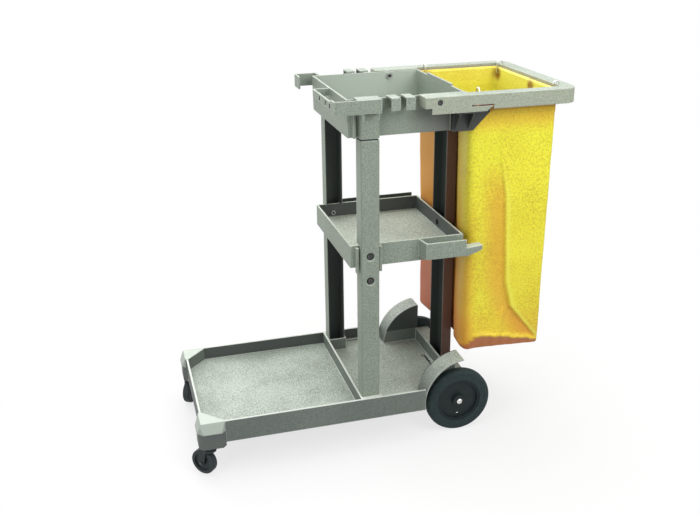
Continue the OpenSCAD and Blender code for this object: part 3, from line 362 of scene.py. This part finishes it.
tyreFinish = {
    "tones": [
        (0.30, (0.018, 0.030, 0.031)), (0.58, (0.029, 0.047, 0.047)), (0.80, (0.062, 0.084, 0.082)),
    ],
    "patch": (90.0, 6.0, 0.8), "grain": (1100.0, 2.0), "rough": (0.62, 0.85),
    "bump": (0.15, 0.0004), "sockets": {"Specular IOR Level": 0.25},
}
hubFinish = {
    "tones": [(0.35, (0.009, 0.015, 0.016)), (0.7, (0.015, 0.025, 0.025))],
    "patch": (60.0, 4.0), "grain": (1500.0, 2.0), "rough": (0.50, 0.68),
    "bump": (0.08, 0.0003), "sockets": {"Specular IOR Level": 0.28},
}
casterFinish = dict(
    hubFinish, tones=[(0.35, (0.024, 0.032, 0.034)), (0.7, (0.036, 0.047, 0.050))])
steelFinish = {
    "tones": [(0.35, (0.52, 0.52, 0.51)), (0.62, (0.72, 0.72, 0.70))],
    "patch": (140.0, 5.0), "grain": (900.0, 2.0), "rough": (0.22, 0.42),
    "bump": (0.05, 0.0002), "sockets": {"Metallic": 1.0},
}
darkSteelFinish = dict(
    steelFinish, tones=[(0.35, (0.045, 0.045, 0.045)), (0.62, (0.10, 0.10, 0.098))])
brassFinish = dict(steelFinish, tones=[(0.35, (0.34, 0.19, 0.07)), (0.62, (0.55, 0.33, 0.13))])


def patchedFinish(s, name):
    material, tree, shader, coords = newMaterial(name)
    patch = noiseOn(tree, coords, *s["patch"])
    grain = noiseOn(tree, coords, *s["grain"])
    tree.links.new(ramp(tree, patch.outputs["Fac"], s["tones"]), shader.inputs["Base Color"])
    for socket, value in s["sockets"].items():
        shader.inputs[socket].default_value = value
    roughFrom(tree, shader, patch, *s["rough"])
    join(tree, bumpFrom(tree, grain, "Fac", *s["bump"]), "Normal", shader, "Normal")
    return material


vinylFinish = {
    "light": (0.95, 0.920, 0.050), "deep": (0.69, 0.570, 0.020),
    "inside": (0.89, 0.885, 0.11), "insideDeep": (0.78, 0.72, 0.055), "toneStops": (0.38, 0.56),
    # tints: orange for painted shade and painted reflection, and more orange towards the bottom;
    # red-brown for painted shade; pale for a painted highlight on the creases; stain for stains
    # around the eyelets
    "tints": {
        "warm": (0.86, 0.32, 0.030), "redShade": (0.49, 0.095, 0.048),
        "pale": (0.95, 0.93, 0.12), "stain": (0.26, 0.070, 0.018),
    },
    "insideTint": 0.15,  # share of each tint on the lining, apart from the stains
    "patch": (9.0, 5.0, 0.6), "mottle": (190.0, 3.0, 0.7), "mottleShare": 0.70, "weave": 85.0,
    "rough": (0.42, 0.58), "sheen": 0.1, "mottleBump": (0.35, 0.001), "weaveBump": (0.25, 0.0003),
}


def yellowVinyl(s, name, light, deep, tintLevel=1.0):
    material, tree, shader, coords = newMaterial(name)
    patch = noiseOn(tree, coords, *s["patch"])
    mottle = noiseOn(tree, coords, *s["mottle"])
    blend = mixNoises(tree, s["mottleShare"], patch, mottle)
    colour = ramp(tree, blend, list(zip(s["toneStops"], (deep, light))))
    # tints from the cloth's attributes: mostly painted shade, a pale painted highlight, and stains
    for tint, tinted in s["tints"].items():
        amount = addNode(tree, "ShaderNodeAttribute", attribute_name=tint)
        share = addNode(tree, "ShaderNodeMath", operation="MULTIPLY")
        join(tree, amount, "Fac", share, 0)
        share.inputs[1].default_value = 1.0 if tint == "stain" else tintLevel
        colour = mixColours(tree, share.outputs[0], colour, tinted)
    tree.links.new(colour, shader.inputs["Base Color"])
    weave = addNode(tree, "ShaderNodeMath", operation="MULTIPLY")
    for way, turn in enumerate((0.0, math.pi / 2)):
        lay = addNode(tree, "ShaderNodeMapping", Rotation=(0, 0, turn))
        thread = addNode(tree, "ShaderNodeTexWave", Scale=s["weave"])
        join(tree, coords, "UV", lay, "Vector")
        join(tree, lay, "Vector", thread, "Vector")
        join(tree, thread, "Fac", weave, way)
    roughFrom(tree, shader, mottle, *s["rough"])
    shader.inputs["Sheen Weight"].default_value = s["sheen"]
    coarse = bumpFrom(tree, mottle, "Fac", *s["mottleBump"])
    fine = bumpFrom(tree, weave, "Value", *s["weaveBump"])
    join(tree, coarse, "Normal", fine, "Normal")
    join(tree, fine, "Normal", shader, "Normal")
    return material


finishes = {
    "grey_plastic": greyPlastic(plastic, "greyPlastic"),
    "rubber_tyre": patchedFinish(tyreFinish, "tyreRubber"),
    "dark_plastic": patchedFinish(hubFinish, "darkPlastic"),
    "steel": patchedFinish(steelFinish, "platedSteel"),
    "yellow_vinyl": yellowVinyl(
        vinylFinish, "yellowVinyl", vinylFinish["light"], vinylFinish["deep"]),
}
# blackened steel; on the bolts and pins in cups its darkness also stands in for the shade deep in
# those cups
darkSteel = patchedFinish(darkSteelFinish, "darkSteel")
special = {name: darkSteel for name in (
    "side_shelf_bolts", "rear_shelf_bolt", "pivot_pins", "tray_bolts",
    "left_caster_axle", "right_caster_axle", "left_caster_stem", "right_caster_stem",
)}
special["bag_eyelets"] = patchedFinish(brassFinish, "eyeletBrass")
casterPlastic = patchedFinish(casterFinish, "casterPlastic")
for side in ("left", "right"):
    for piece in ("fork", "hub", "tyre"):
        special[side + "_caster_" + piece] = casterPlastic

# boxes of painted light and painted shade: tone, limits along the cart from the axle, across and in
# height
mirroredLightAndShade = {  # on both sides of the cart
    "base_platform": [
        ("dim", (-0.76, -0.10), (0.2240, 0.2275), (0.1315, 0.1690)),  # painted shade inside the rim
        ("shade", (-0.14, 0.05), (0.1600, 0.1695), (0.1720, 0.2600)),  # painted shade inside the fenders
        ("cap", (-0.79, -0.7090), (0.2322, 0.2460), (0.1405, 0.1694)),  # painted light on the slopes of the housings
        ("cap", (-0.79, -0.7748), (0.1640, 0.2322), (0.1405, 0.1694)),
        ("skirt", (-0.79, -0.7040), (0.2322, 0.2460), (0.0850, 0.1385)),  # painted shade on the housings below them
        ("skirt", (-0.79, -0.7730), (0.1640, 0.2322), (0.0850, 0.1385)),
    ],
    "top_tray": [
        ("deep", (-0.0500, 0.06), (0.1895, 0.2450), (0.9200, 0.9960)),  # painted shadow under the wings
        ("half", (-0.1250, -0.0500), (0.1860, 0.1895), (0.9200, 0.9920)),  # painted half shadow on the walls in front of them
        ("pale", (-0.3310, -0.0110), (0.1780, 0.1845), (0.9350, 1.0285)),  # painted light inside the walls
    ],
}
plainLightAndShade = {
    "base_platform": [
        ("shade", (-0.7730, -0.7712), (-0.1660, 0.1660), (0.1000, 0.1690)),  # painted shade on the front face
        # painted highlight on the top of the rim
        ("rim", (-0.80, -0.14), (-0.24, 0.24), (0.1694, 0.1740)),
        ("crown", (-0.79, -0.7060), (-0.2460, -0.1640), (0.1694, 0.1740)),  # painted light on the tops of the housings
        ("crown", (-0.79, -0.7060), (0.1640, 0.2460), (0.1694, 0.1740)),
    ],
    "middle_shelf": [
        ("dim", (-0.3268, -0.0048), (-0.1875, 0.1875), (0.5885, 0.6285)),  # painted shade inside the walls
        ("shade", (-0.26, 0), (0.2240, 0.2335), (0.5750, 0.6290)),  # painted shade inside the rack
    ],
    "top_tray": [  # painted shade inside the windows of the tool rail
        ("deep", (-0.3815, -0.3775), (-0.0933, -0.0807), (1.0117, 1.0253)),
        ("deep", (-0.3815, -0.3775), (-0.1563, -0.1437), (1.0117, 1.0253)),
        ("deep", (-0.3815, -0.3775), (-0.2013, -0.1887), (1.0117, 1.0253)),
    ],
}
channelShade = {"skin": 0.0006, "wall": 0.0036}  # painted shade inside the channels: outer skin left light, thickness of a channel's back


def toneBox(tone, along, across, height, side=1):
    left, right = sorted(side * y for y in across)
    low = Vector((axleX + along[0], left, height[0]))
    return low, Vector((axleX + along[1], right, height[1])), tone


# the insides of the upright channels painted dark: painted shade
def channelShadeBoxes(s):
    skin, wall = s["skin"], s["wall"]
    boxes = {}
    for name, side in (("left_upright", -1), ("right_upright", 1)):
        low, high = (Vector(corner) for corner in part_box(name))
        low.x, high.x = low.x + skin, high.x - skin
        low.y, high.y = (low.y - skin, high.y - wall) if side > 0 else (low.y + wall, high.y + skin)
        boxes[name] = [(low - Vector((0, 0, skin)), high, "shade")]
    low, high = (Vector(corner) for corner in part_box("rear_upright"))
    low, high = low + Vector((-skin, wall, 0)), high - Vector((wall, wall, 0))
    boxes["rear_upright"] = [(low, high, "shade")]
    return boxes


# copies of the plastic painted darker or lighter: painted shade and painted light
ownPlastic = {
    "rear_upright": shadedRearPlastic, "middle_shelf": litShelfPlastic,
    "base_platform": shadedAndLitBasePlastic, "bag_frame": litFramePlastic,
}
lightAndShadeBoxes = {"bag_frame": [], **channelShadeBoxes(channelShade)}
for name in ("base_platform", "middle_shelf", "top_tray"):
    mirrored = [toneBox(*row, side) for side in (-1, 1) for row in mirroredLightAndShade.get(name, ())]
    lightAndShadeBoxes[name] = mirrored + [toneBox(*row) for row in plainLightAndShade[name]]
for name, boxes in lightAndShadeBoxes.items():
    special[name] = greyPlastic(ownPlastic.get(name, plastic), name + "Plastic", boxes)
for part in frame["record"]["subparts"]:
    mesh = nodes[part["node"]].data
    mesh.materials.clear()
    mesh.materials.append(special.get(part["node"], finishes[part["material_slot"]]))
print("finishes made:", ", ".join(sorted(finishes)))


bagCut = {
    "top": 1.0245, "low": 0.2520, "hemLow": 0.961, "rows": 64, "fineBelow": 0.41, "fineRows": 46,
    "frontTop": 0.0035, "frontLow": 0.0135, "frontFrom": 0.93, "frontTo": 0.45,
    "back": 0.2572, "backLow": 0.2540, "half": 0.2005, "halfLow": 0.1950,
    "cornerBack": 0.012, "cornerFront": 0.030, "cornerFrontLow": 0.056, "cornerFar": 0.012,
    "pressX": 0.0395, "pressHalf": 0.058, "pressRound": 0.010, "pressFrom": 1.016, "pressTo": 0.996,
    "bulgeHalf": 0.085, "bulge": 0.42,
    "edges": (50, 92, 18, 5, 14, 5, 18, 92), "cornerSteps": 6,  # steps along each panel and corner
    "backPanel": 0, "farPanels": (2, 3), "pressPanels": (4, 5, 6),
    "sidePanels": {7: (-1, 0.0), 1: (1, -0.008)},  # side of the cart, shift of the crease
    "sideEdge": (0.170, 0.1945), "foldFront": (0.0, 0.02), "foldBack": (0.2595, 0.245),
    "creaseHeights": (0.250, 0.296, 0.388, 0.469, 0.616, 0.739, 0.823, 0.900),
    "creasePlaces": (0.262, 0.230, 0.157, 0.136, 0.128, 0.121, 0.104, 0.090),
    "creaseDepths": (0.001, 0.005, 0.011, 0.012, 0.010, 0.007, 0.0040, 0.0),
    "creaseFrom": 0.012, "creaseReach": 0.070, "creaseLip": 0.0045, "creaseOver": 0.002,
    "creaseRise": 0.003, "creaseFull": 0.013,
    "bandPlaces": (0.0, 0.016, 0.050, 0.090, 0.130, 0.245, 0.27),
    "bandHeights": (0.252, 0.262, 0.303, 0.300, 0.294, 0.270, 0.262),
    "bandTuck": 0.42, "bandBelow": 0.004, "bandAbove": 0.012,
    "bandLip": 0.0018, "bandLipHalf": 0.005,
    "crinkles": ((0.0014, 95, 0.6), (0.0010, 211, 0.0)), "crinkleFrom": 0.03,
    "pleat": 0.006, "pleatHalf": 0.006, "pleatPlace": 0.127, "pleatHeight": 0.294,
    "pleatSlant": 0.1, "pleatFoot": (0.292, 0.31), "pleatHead": (0.390, 0.365),
    "looseAbove": 0.004, "looseBelow": 0.06,  # the folds come in below the hem
    "sag": 0.006, "sagHead": (0.95, 0.60), "sagFoot": (0.25, 0.40),
    "wave": 0.0016, "waveTurn": 46, "waveStart": 1.2, "waveRise": (0.70, 0.94),
    "ripple": 0.0016, "ripples": ((16, 7, 1.0), (37, 19, 0.5)), "rippleMiddle": 0.13,
    "bottomRound": 0.010, "bottomBends": (30, 60, 90), "bottomMiddle": 0.135, "bottomRise": 0.0025,
    "bottomRings": (0.92, 0.80, 0.64, 0.46, 0.28, 0.12),
    "thickness": 0.0030, "thin": 0.30,  # thickness of the hem, and the share of it below
}


def smooth(value, start, end):
    t = np.clip((value - start) / (end - start), 0, 1)
    return t * t * (3 - 2 * t)


# the bag's outline at a height, with the panel that each point is on
def bagRing(cut, z):
    down = float(smooth(np.array(z), cut["frontFrom"], cut["frontTo"]))
    taper = min(1.0, max(0.0, (cut["hemLow"] - z) / (cut["hemLow"] - cut["low"])))
    front = cut["frontTop"] + (cut["frontLow"] - cut["frontTop"]) * down
    back = cut["back"] + (cut["backLow"] - cut["back"]) * taper
    half = cut["half"] + (cut["halfLow"] - cut["half"]) * taper
    pressed = float(smooth(np.array(z), cut["pressFrom"], cut["pressTo"]))
    press, side = front + (cut["pressX"] - front) * pressed, cut["pressHalf"]
    swell, beside = front + (press - front) * cut["bulge"], cut["bulgeHalf"]
    corners = [np.array(corner) for corner in (
        (back, -half), (back, half), (front, half), (swell, beside),
        (press, side), (press, -side), (swell, -beside), (front, -half),
    )]
    nearRound = cut["cornerFront"] + (cut["cornerFrontLow"] - cut["cornerFront"]) * down
    rounds = [cut["cornerBack"]] * 2 + [cut["cornerFar"]] + [cut["pressRound"]] * 4 + [nearRound]
    ends = []
    for i, corner in enumerate(corners):
        toLast = corners[i - 1] - corner
        toNext = corners[(i + 1) % len(corners)] - corner
        ends.append((
            corner + toLast / np.linalg.norm(toLast) * rounds[i],
            corner + toNext / np.linalg.norm(toNext) * rounds[i],
        ))
    points, panels = [], []
    for i, count in enumerate(cut["edges"]):
        start, end = ends[i]
        for k in range(cut["cornerSteps"]):
            t = k / cut["cornerSteps"]
            points.append((1 - t) ** 2 * start + 2 * t * (1 - t) * corners[i] + t * t * end)
            panels.append((i - 1) % len(corners) if t < 0.5 else i)
        start, end = ends[i][1], ends[(i + 1) % len(corners)][0]
        for k in range(count):
            points.append(start + (end - start) * k / count)
            panels.append(i)
    return np.array(points), np.array(panels)


def bandHeight(cut, x):
    crinkle = sum(high * np.sin(x * turn + start) for high, turn, start in cut["crinkles"])
    crinkle = crinkle * smooth(x, 0.0, cut["crinkleFrom"])
    return np.interp(x, cut["bandPlaces"], cut["bandHeights"]) + crinkle


# how far a side of the bag is folded inwards
def sideFold(cut, x, z, lean):
    crease = np.interp(z, cut["creaseHeights"], cut["creasePlaces"]) + lean
    depth = np.interp(z, cut["creaseHeights"], cut["creaseDepths"])
    dip = smooth(x, cut["creaseFrom"], cut["creaseReach"])
    rise = smooth(x, crease - cut["creaseLip"], crease + cut["creaseOver"])
    fold = depth * dip * (1 - rise) - cut["creaseRise"] * depth / cut["creaseFull"] * rise
    band = bandHeight(cut, x)
    fold = fold * smooth(z, band - cut["bandBelow"], band + cut["bandAbove"])
    tuck = np.maximum(band - z, 0) * cut["bandTuck"]
    tuck = tuck - cut["bandLip"] * np.exp(-((z - band) / cut["bandLipHalf"]) ** 2)
    aside = x - cut["pleatPlace"] - lean - (z - cut["pleatHeight"]) * cut["pleatSlant"]
    pleat = cut["pleat"] * np.exp(-(aside / cut["pleatHalf"]) ** 2)
    pleat = pleat * smooth(z, *cut["pleatFoot"]) * smooth(z, *cut["pleatHead"])
    return fold + tuck - pleat


def rippleAt(cut, x, y, z):
    return sum(
        share * noise.noise(Vector((x * around, y * around, z * down)))
        for around, down, share in cut["ripples"]
    )


def bagPoints(cut):
    walls = np.concatenate([
        np.linspace(cut["top"], cut["fineBelow"], cut["rows"], endpoint=False),
        np.linspace(cut["fineBelow"], cut["low"] + cut["bottomRound"], cut["fineRows"]),
    ])
    rings = []
    for z in walls:
        ring, panels = bagRing(cut, z)
        x, y = ring[:, 0].copy(), ring[:, 1].copy()
        loose = smooth(z, cut["hemLow"] + cut["looseAbove"], cut["hemLow"] - cut["looseBelow"])
        for panel, (sign, lean) in cut["sidePanels"].items():
            inward = sideFold(cut, x, z, lean) * smooth(np.abs(y), *cut["sideEdge"])
            inward = inward * smooth(x, *cut["foldFront"]) * smooth(x, *cut["foldBack"])
            y = np.where(np.sign(y) == sign, y - sign * inward * (panels == panel), y)
        across = y / cut["half"]
        sag = cut["sag"] * (1 - across ** 2)
        sag = sag * smooth(z, *cut["sagHead"]) * smooth(z, *cut["sagFoot"])
        wave = cut["wave"] * np.cos(y * cut["waveTurn"] + cut["waveStart"])
        wave = wave * smooth(z, *cut["waveRise"])
        x = x - np.where(panels == cut["backPanel"], (sag + wave) * loose, 0)
        ripple = np.array([rippleAt(cut, px, py, z) for px, py in zip(x, y)])
        ripple = ripple * cut["ripple"] * loose
        grow = np.stack([x - cut["rippleMiddle"], y], axis=1)
        grow = grow / np.linalg.norm(grow, axis=1)[:, None]
        x, y = x + grow[:, 0] * ripple, y + grow[:, 1] * ripple
        rings.append((x, y, np.full(len(x), z), panels))
    lastX, lastY, _, panels = rings[-1]
    centre = np.array([cut["bottomMiddle"], 0.0])
    out = np.stack([lastX, lastY], axis=1) - centre
    reach = np.linalg.norm(out, axis=1)[:, None]
    r = cut["bottomRound"]
    bottom = []
    for angle in cut["bottomBends"]:
        bend = math.radians(angle)
        bottom.append((out * (1 - r * (1 - math.cos(bend)) / reach), r * (1 - math.sin(bend))))
    for scale in cut["bottomRings"]:
        bottom.append((out * (1 - r / reach) * scale, cut["bottomRise"] * (1 - scale)))
    for away, height in bottom:
        x, y = (centre + away).T
        rings.append((x, y, np.full(len(x), cut["low"] + height), panels))
    return rings, centre


bagColour = {  # share of a tint, then the places where it starts and where it is full
    # more orange towards the bottom
    "lowWarm": (0.22, 0.42, 0.30), "downWarm": (0.12, 0.90, 0.45),
    # painted shade, orange and red-brown, on the far slant of the front
    "farWarm": 0.85, "farRedShade": (0.80, 0.66, 0.36),
    # painted shade, orange, on the slants pressed against the rear upright
    "pressWarm": 0.45, "pressDown": (0.35, 0.75, 0.45), "pressSides": (0.75, 0.08, 0.19),
    # painted shade, red-brown, on the band folded under at the bottom
    "bandRedShade": (0.85, 0.003, -0.008),
    # painted shadow, orange and red-brown, below the frame
    "hemWarm": (0.46, 0.90, 0.96), "hemRedShade": (0.85, 0.972, 0.994),
    # painted shade, orange, at the near front corner
    "cornerWarm": (0.55, 0.055, 0.012), "cornerDown": (1.0, 0.80, 0.45),
    "creaseDown": (1.0, 0.86, 0.70), "creaseFoot": (1.0, 0.0, 0.02),
    # painted shade, orange and red-brown, in front of the crease
    "hollowFront": (1.0, -0.085, -0.020), "hollowBack": (1.0, 0.003, -0.004),
    "hollowWarm": 0.38, "hollowRedShade": 0.13,
    # a painted highlight along the ridge of the crease
    "creasePale": 0.55, "paleShift": 0.007, "paleHalf": 0.006,
    "stain": (0.75, 0.028, 0.011), "eyeletHeight": 1.003,
    "eyelets": (
        (0.2572, -0.1825), (0.2572, -0.040), (0.2572, 0.1825), (0.0215, -0.202), (0.0215, 0.202),
    ),
}


def tintShare(setting, value, origin=0.0):
    share, start, end = setting
    return share * smooth(value, origin + start, origin + end)


# how far the cloth is turned to orange (mostly painted shade), to red-brown painted shade and to a
# pale painted highlight at a place, and how far it is stained
def bagTints(s, cut, place, panel):
    x, y, z = place
    redShade = pale = front = hollow = 0.0
    # orange towards the bottom
    low = tintShare(s["lowWarm"], z) + tintShare(s["downWarm"], z)
    # painted shade on the front slants
    if panel in cut["farPanels"]:
        front = s["farWarm"]
        redShade = tintShare(s["farRedShade"], z)
    elif panel in cut["pressPanels"]:
        front = s["pressWarm"] + tintShare(s["pressDown"], z)
        front = front * (1 - tintShare(s["pressSides"], abs(y)))
    band = bandHeight(cut, x)
    # painted shade on the band folded under
    if panel != cut["backPanel"]:
        redShade = max(redShade, tintShare(s["bandRedShade"], z, band))
    # painted shade at the near front corner
    corner = tintShare(s["cornerWarm"], x) * tintShare(s["cornerDown"], z)
    if panel in cut["sidePanels"]:
        # painted shade in front of the crease, painted shadow below the frame, and a painted
        # highlight on the ridge
        crease = np.interp(z, cut["creaseHeights"], cut["creasePlaces"])
        below = tintShare(s["creaseDown"], z) * tintShare(s["creaseFoot"], z, band)
        hollow = tintShare(s["hollowFront"], x, crease) * tintShare(s["hollowBack"], x, crease)
        redShade = max(redShade, s["hollowRedShade"] * hollow * below, tintShare(s["hemRedShade"], z))
        hollow = s["hollowWarm"] * hollow * below
        aside = (x - crease - s["paleShift"]) / s["paleHalf"]
        pale = s["creasePale"] * math.exp(-aside ** 2) * below
    away = min(math.dist(place, (*eyelet, s["eyeletHeight"])) for eyelet in s["eyelets"])
    warm = max(front, tintShare(s["hemWarm"], z), corner) + hollow + low
    return warm, redShade, pale, tintShare(s["stain"], away)


def makeBag(cut, tintPlan):
    rings, centre = bagPoints(cut)
    count = len(rings[0][0])
    points = [(axleX + x, y, z) for xs, ys, zs, _ in rings for x, y, z in zip(xs, ys, zs)]
    points.append((axleX + centre[0], centre[1], cut["low"] + cut["bottomRise"]))
    faces = []
    for row in range(len(rings) - 1):
        for k in range(count):
            a, b = row * count + k, row * count + (k + 1) % count
            faces.append((a, a + count, b + count, b))
    last = (len(rings) - 1) * count
    faces += [(last + k, len(points) - 1, last + (k + 1) % count) for k in range(count)]
    mesh = bpy.data.meshes.new("bagCloth")
    mesh.from_pydata(points, [], faces)
    mesh.update()
    bag = bpy.data.objects.new("bagCloth", mesh)
    bpy.context.scene.collection.objects.link(bag)
    makeActive(bag)
    bpy.ops.object.mode_set(mode="EDIT")
    bpy.ops.mesh.select_all(action="SELECT")
    bpy.ops.mesh.normals_make_consistent(inside=False)
    bpy.ops.object.mode_set(mode="OBJECT")
    bpy.ops.object.shade_smooth()
    top = np.stack([rings[0][0], rings[0][1]], axis=1)
    steps = np.linalg.norm(np.roll(top, -1, axis=0) - top, axis=1)
    along = np.concatenate([[0], np.cumsum(steps)])
    mesh.uv_layers.new(name="clothLay")
    for name in vinylFinish["tints"]:
        mesh.attributes.new(name, "FLOAT", "POINT")
    panels = rings[0][3]
    layer = mesh.uv_layers["clothLay"]  # fetched by name, once every layer is there
    for loop in mesh.loops:
        place = mesh.vertices[loop.vertex_index].co
        layer.data[loop.index].uv = (along[loop.vertex_index % count], place.z)
    # painted shade, painted highlight and stains for each point of the cloth
    tints = np.array([
        bagTints(tintPlan, cut, (v.co.x - axleX, v.co.y, v.co.z), panels[v.index % count])
        for v in mesh.vertices
    ])
    for name, values in zip(vinylFinish["tints"], tints.clip(0, 1).T):
        mesh.attributes[name].data.foreach_set("value", values.astype(np.float32))
    hem = bag.vertex_groups.new(name="hem")
    hem.add([v.index for v in mesh.vertices if v.co.z > cut["hemLow"]], 1.0, "REPLACE")
    area = sum(polygon.area for polygon in mesh.polygons)
    mesh.materials.append(finishes["yellow_vinyl"])
    mesh.materials.append(yellowVinyl(
        vinylFinish, "bagLining", vinylFinish["inside"], vinylFinish["insideDeep"],
        vinylFinish["insideTint"]))
    wall = bag.modifiers.new("wall", "SOLIDIFY")
    wall.thickness = cut["thickness"]
    wall.offset = 0
    wall.vertex_group = "hem"
    wall.thickness_vertex_group = cut["thin"]
    wall.material_offset = 1
    makeActive(bag)
    bpy.ops.object.modifier_apply(modifier="wall")
    return bag, area, float(along[-1])


stitching = {
    "heights": (0.9665, 1.0165), "pitch": 0.009, "length": 0.0058, "thick": 0.0011,
    "stand": 0.0016, "segments": 6, "rings": 4, "ahead": 0.001,
    "tones": [(0.35, (0.52, 0.40, 0.05)), (0.6, (0.70, 0.60, 0.10))],
    "twist": (2600.0, 2.0), "rough": 0.7,
}


def sewingThread(s):
    material, tree, shader, coords = newMaterial("sewingThread")
    twist = noiseOn(tree, coords, *s["twist"])
    tree.links.new(ramp(tree, twist.outputs["Fac"], s["tones"]), shader.inputs["Base Color"])
    shader.inputs["Roughness"].default_value = s["rough"]
    return material


def makeStitches(s, cut):
    deselectAll()
    bpy.ops.mesh.primitive_uv_sphere_add(
        segments=s["segments"], ring_count=s["rings"], radius=0.5)  # 1 across, before its size
    bpy.ops.transform.resize(value=(s["length"], s["thick"], s["thick"]))
    bpy.ops.object.transform_apply(location=False, rotation=False, scale=True)
    model = bpy.context.object
    shape = np.array([v.co[:] for v in model.data.vertices])
    sides = sorted(tuple(p.vertices) for p in model.data.polygons)  # the same order in every run
    bpy.data.objects.remove(model)
    points, faces = [], []
    for z in s["heights"]:
        ring, _ = bagRing(cut, z)
        closed = np.vstack([ring, ring[:1]])
        steps = np.linalg.norm(np.diff(closed, axis=0), axis=1)
        along = np.concatenate([[0], np.cumsum(steps)])
        count = int(along[-1] / s["pitch"])
        for k in range(count):
            place = along[-1] * (k + 0.5) / count
            spot, ahead = (
                np.array([np.interp(reach, along, closed[:, i]) for i in (0, 1)])
                for reach in (place, place + s["ahead"])
            )
            way = (ahead - spot) / max(np.linalg.norm(ahead - spot), 1e-9)
            out = np.array([way[1], -way[0]])
            for stand in (s["stand"], -s["stand"]):
                middle = spot + out * stand
                turned = np.outer(shape[:, 0], way) + np.outer(shape[:, 1], out) + middle
                start = len(points)
                points += [(axleX + x, y, z + h) for (x, y), h in zip(turned, shape[:, 2])]
                faces += [tuple(start + i for i in side) for side in sides]
    mesh = bpy.data.meshes.new("bagStitches")
    mesh.from_pydata(points, [], faces)
    mesh.update()
    stitches = bpy.data.objects.new("bagStitches", mesh)
    bpy.context.scene.collection.objects.link(stitches)
    mesh.materials.append(sewingThread(s))
    makeActive(stitches)
    bpy.ops.object.shade_smooth()
    return stitches


bagCloth, clothArea, mouthRound = makeBag(bagCut, bagColour)
bagStitches = makeStitches(stitching, bagCut)
for piece in (bagCloth, bagStitches):
    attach(piece, "bag_frame")
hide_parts("bag", "bag_front_panel", "bag_base_panel")
for piece in (bagCloth, bagStitches):
    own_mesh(piece)
print("bag hung, cloth area", round(clothArea, 3), "mouth", round(mouthRound, 3))
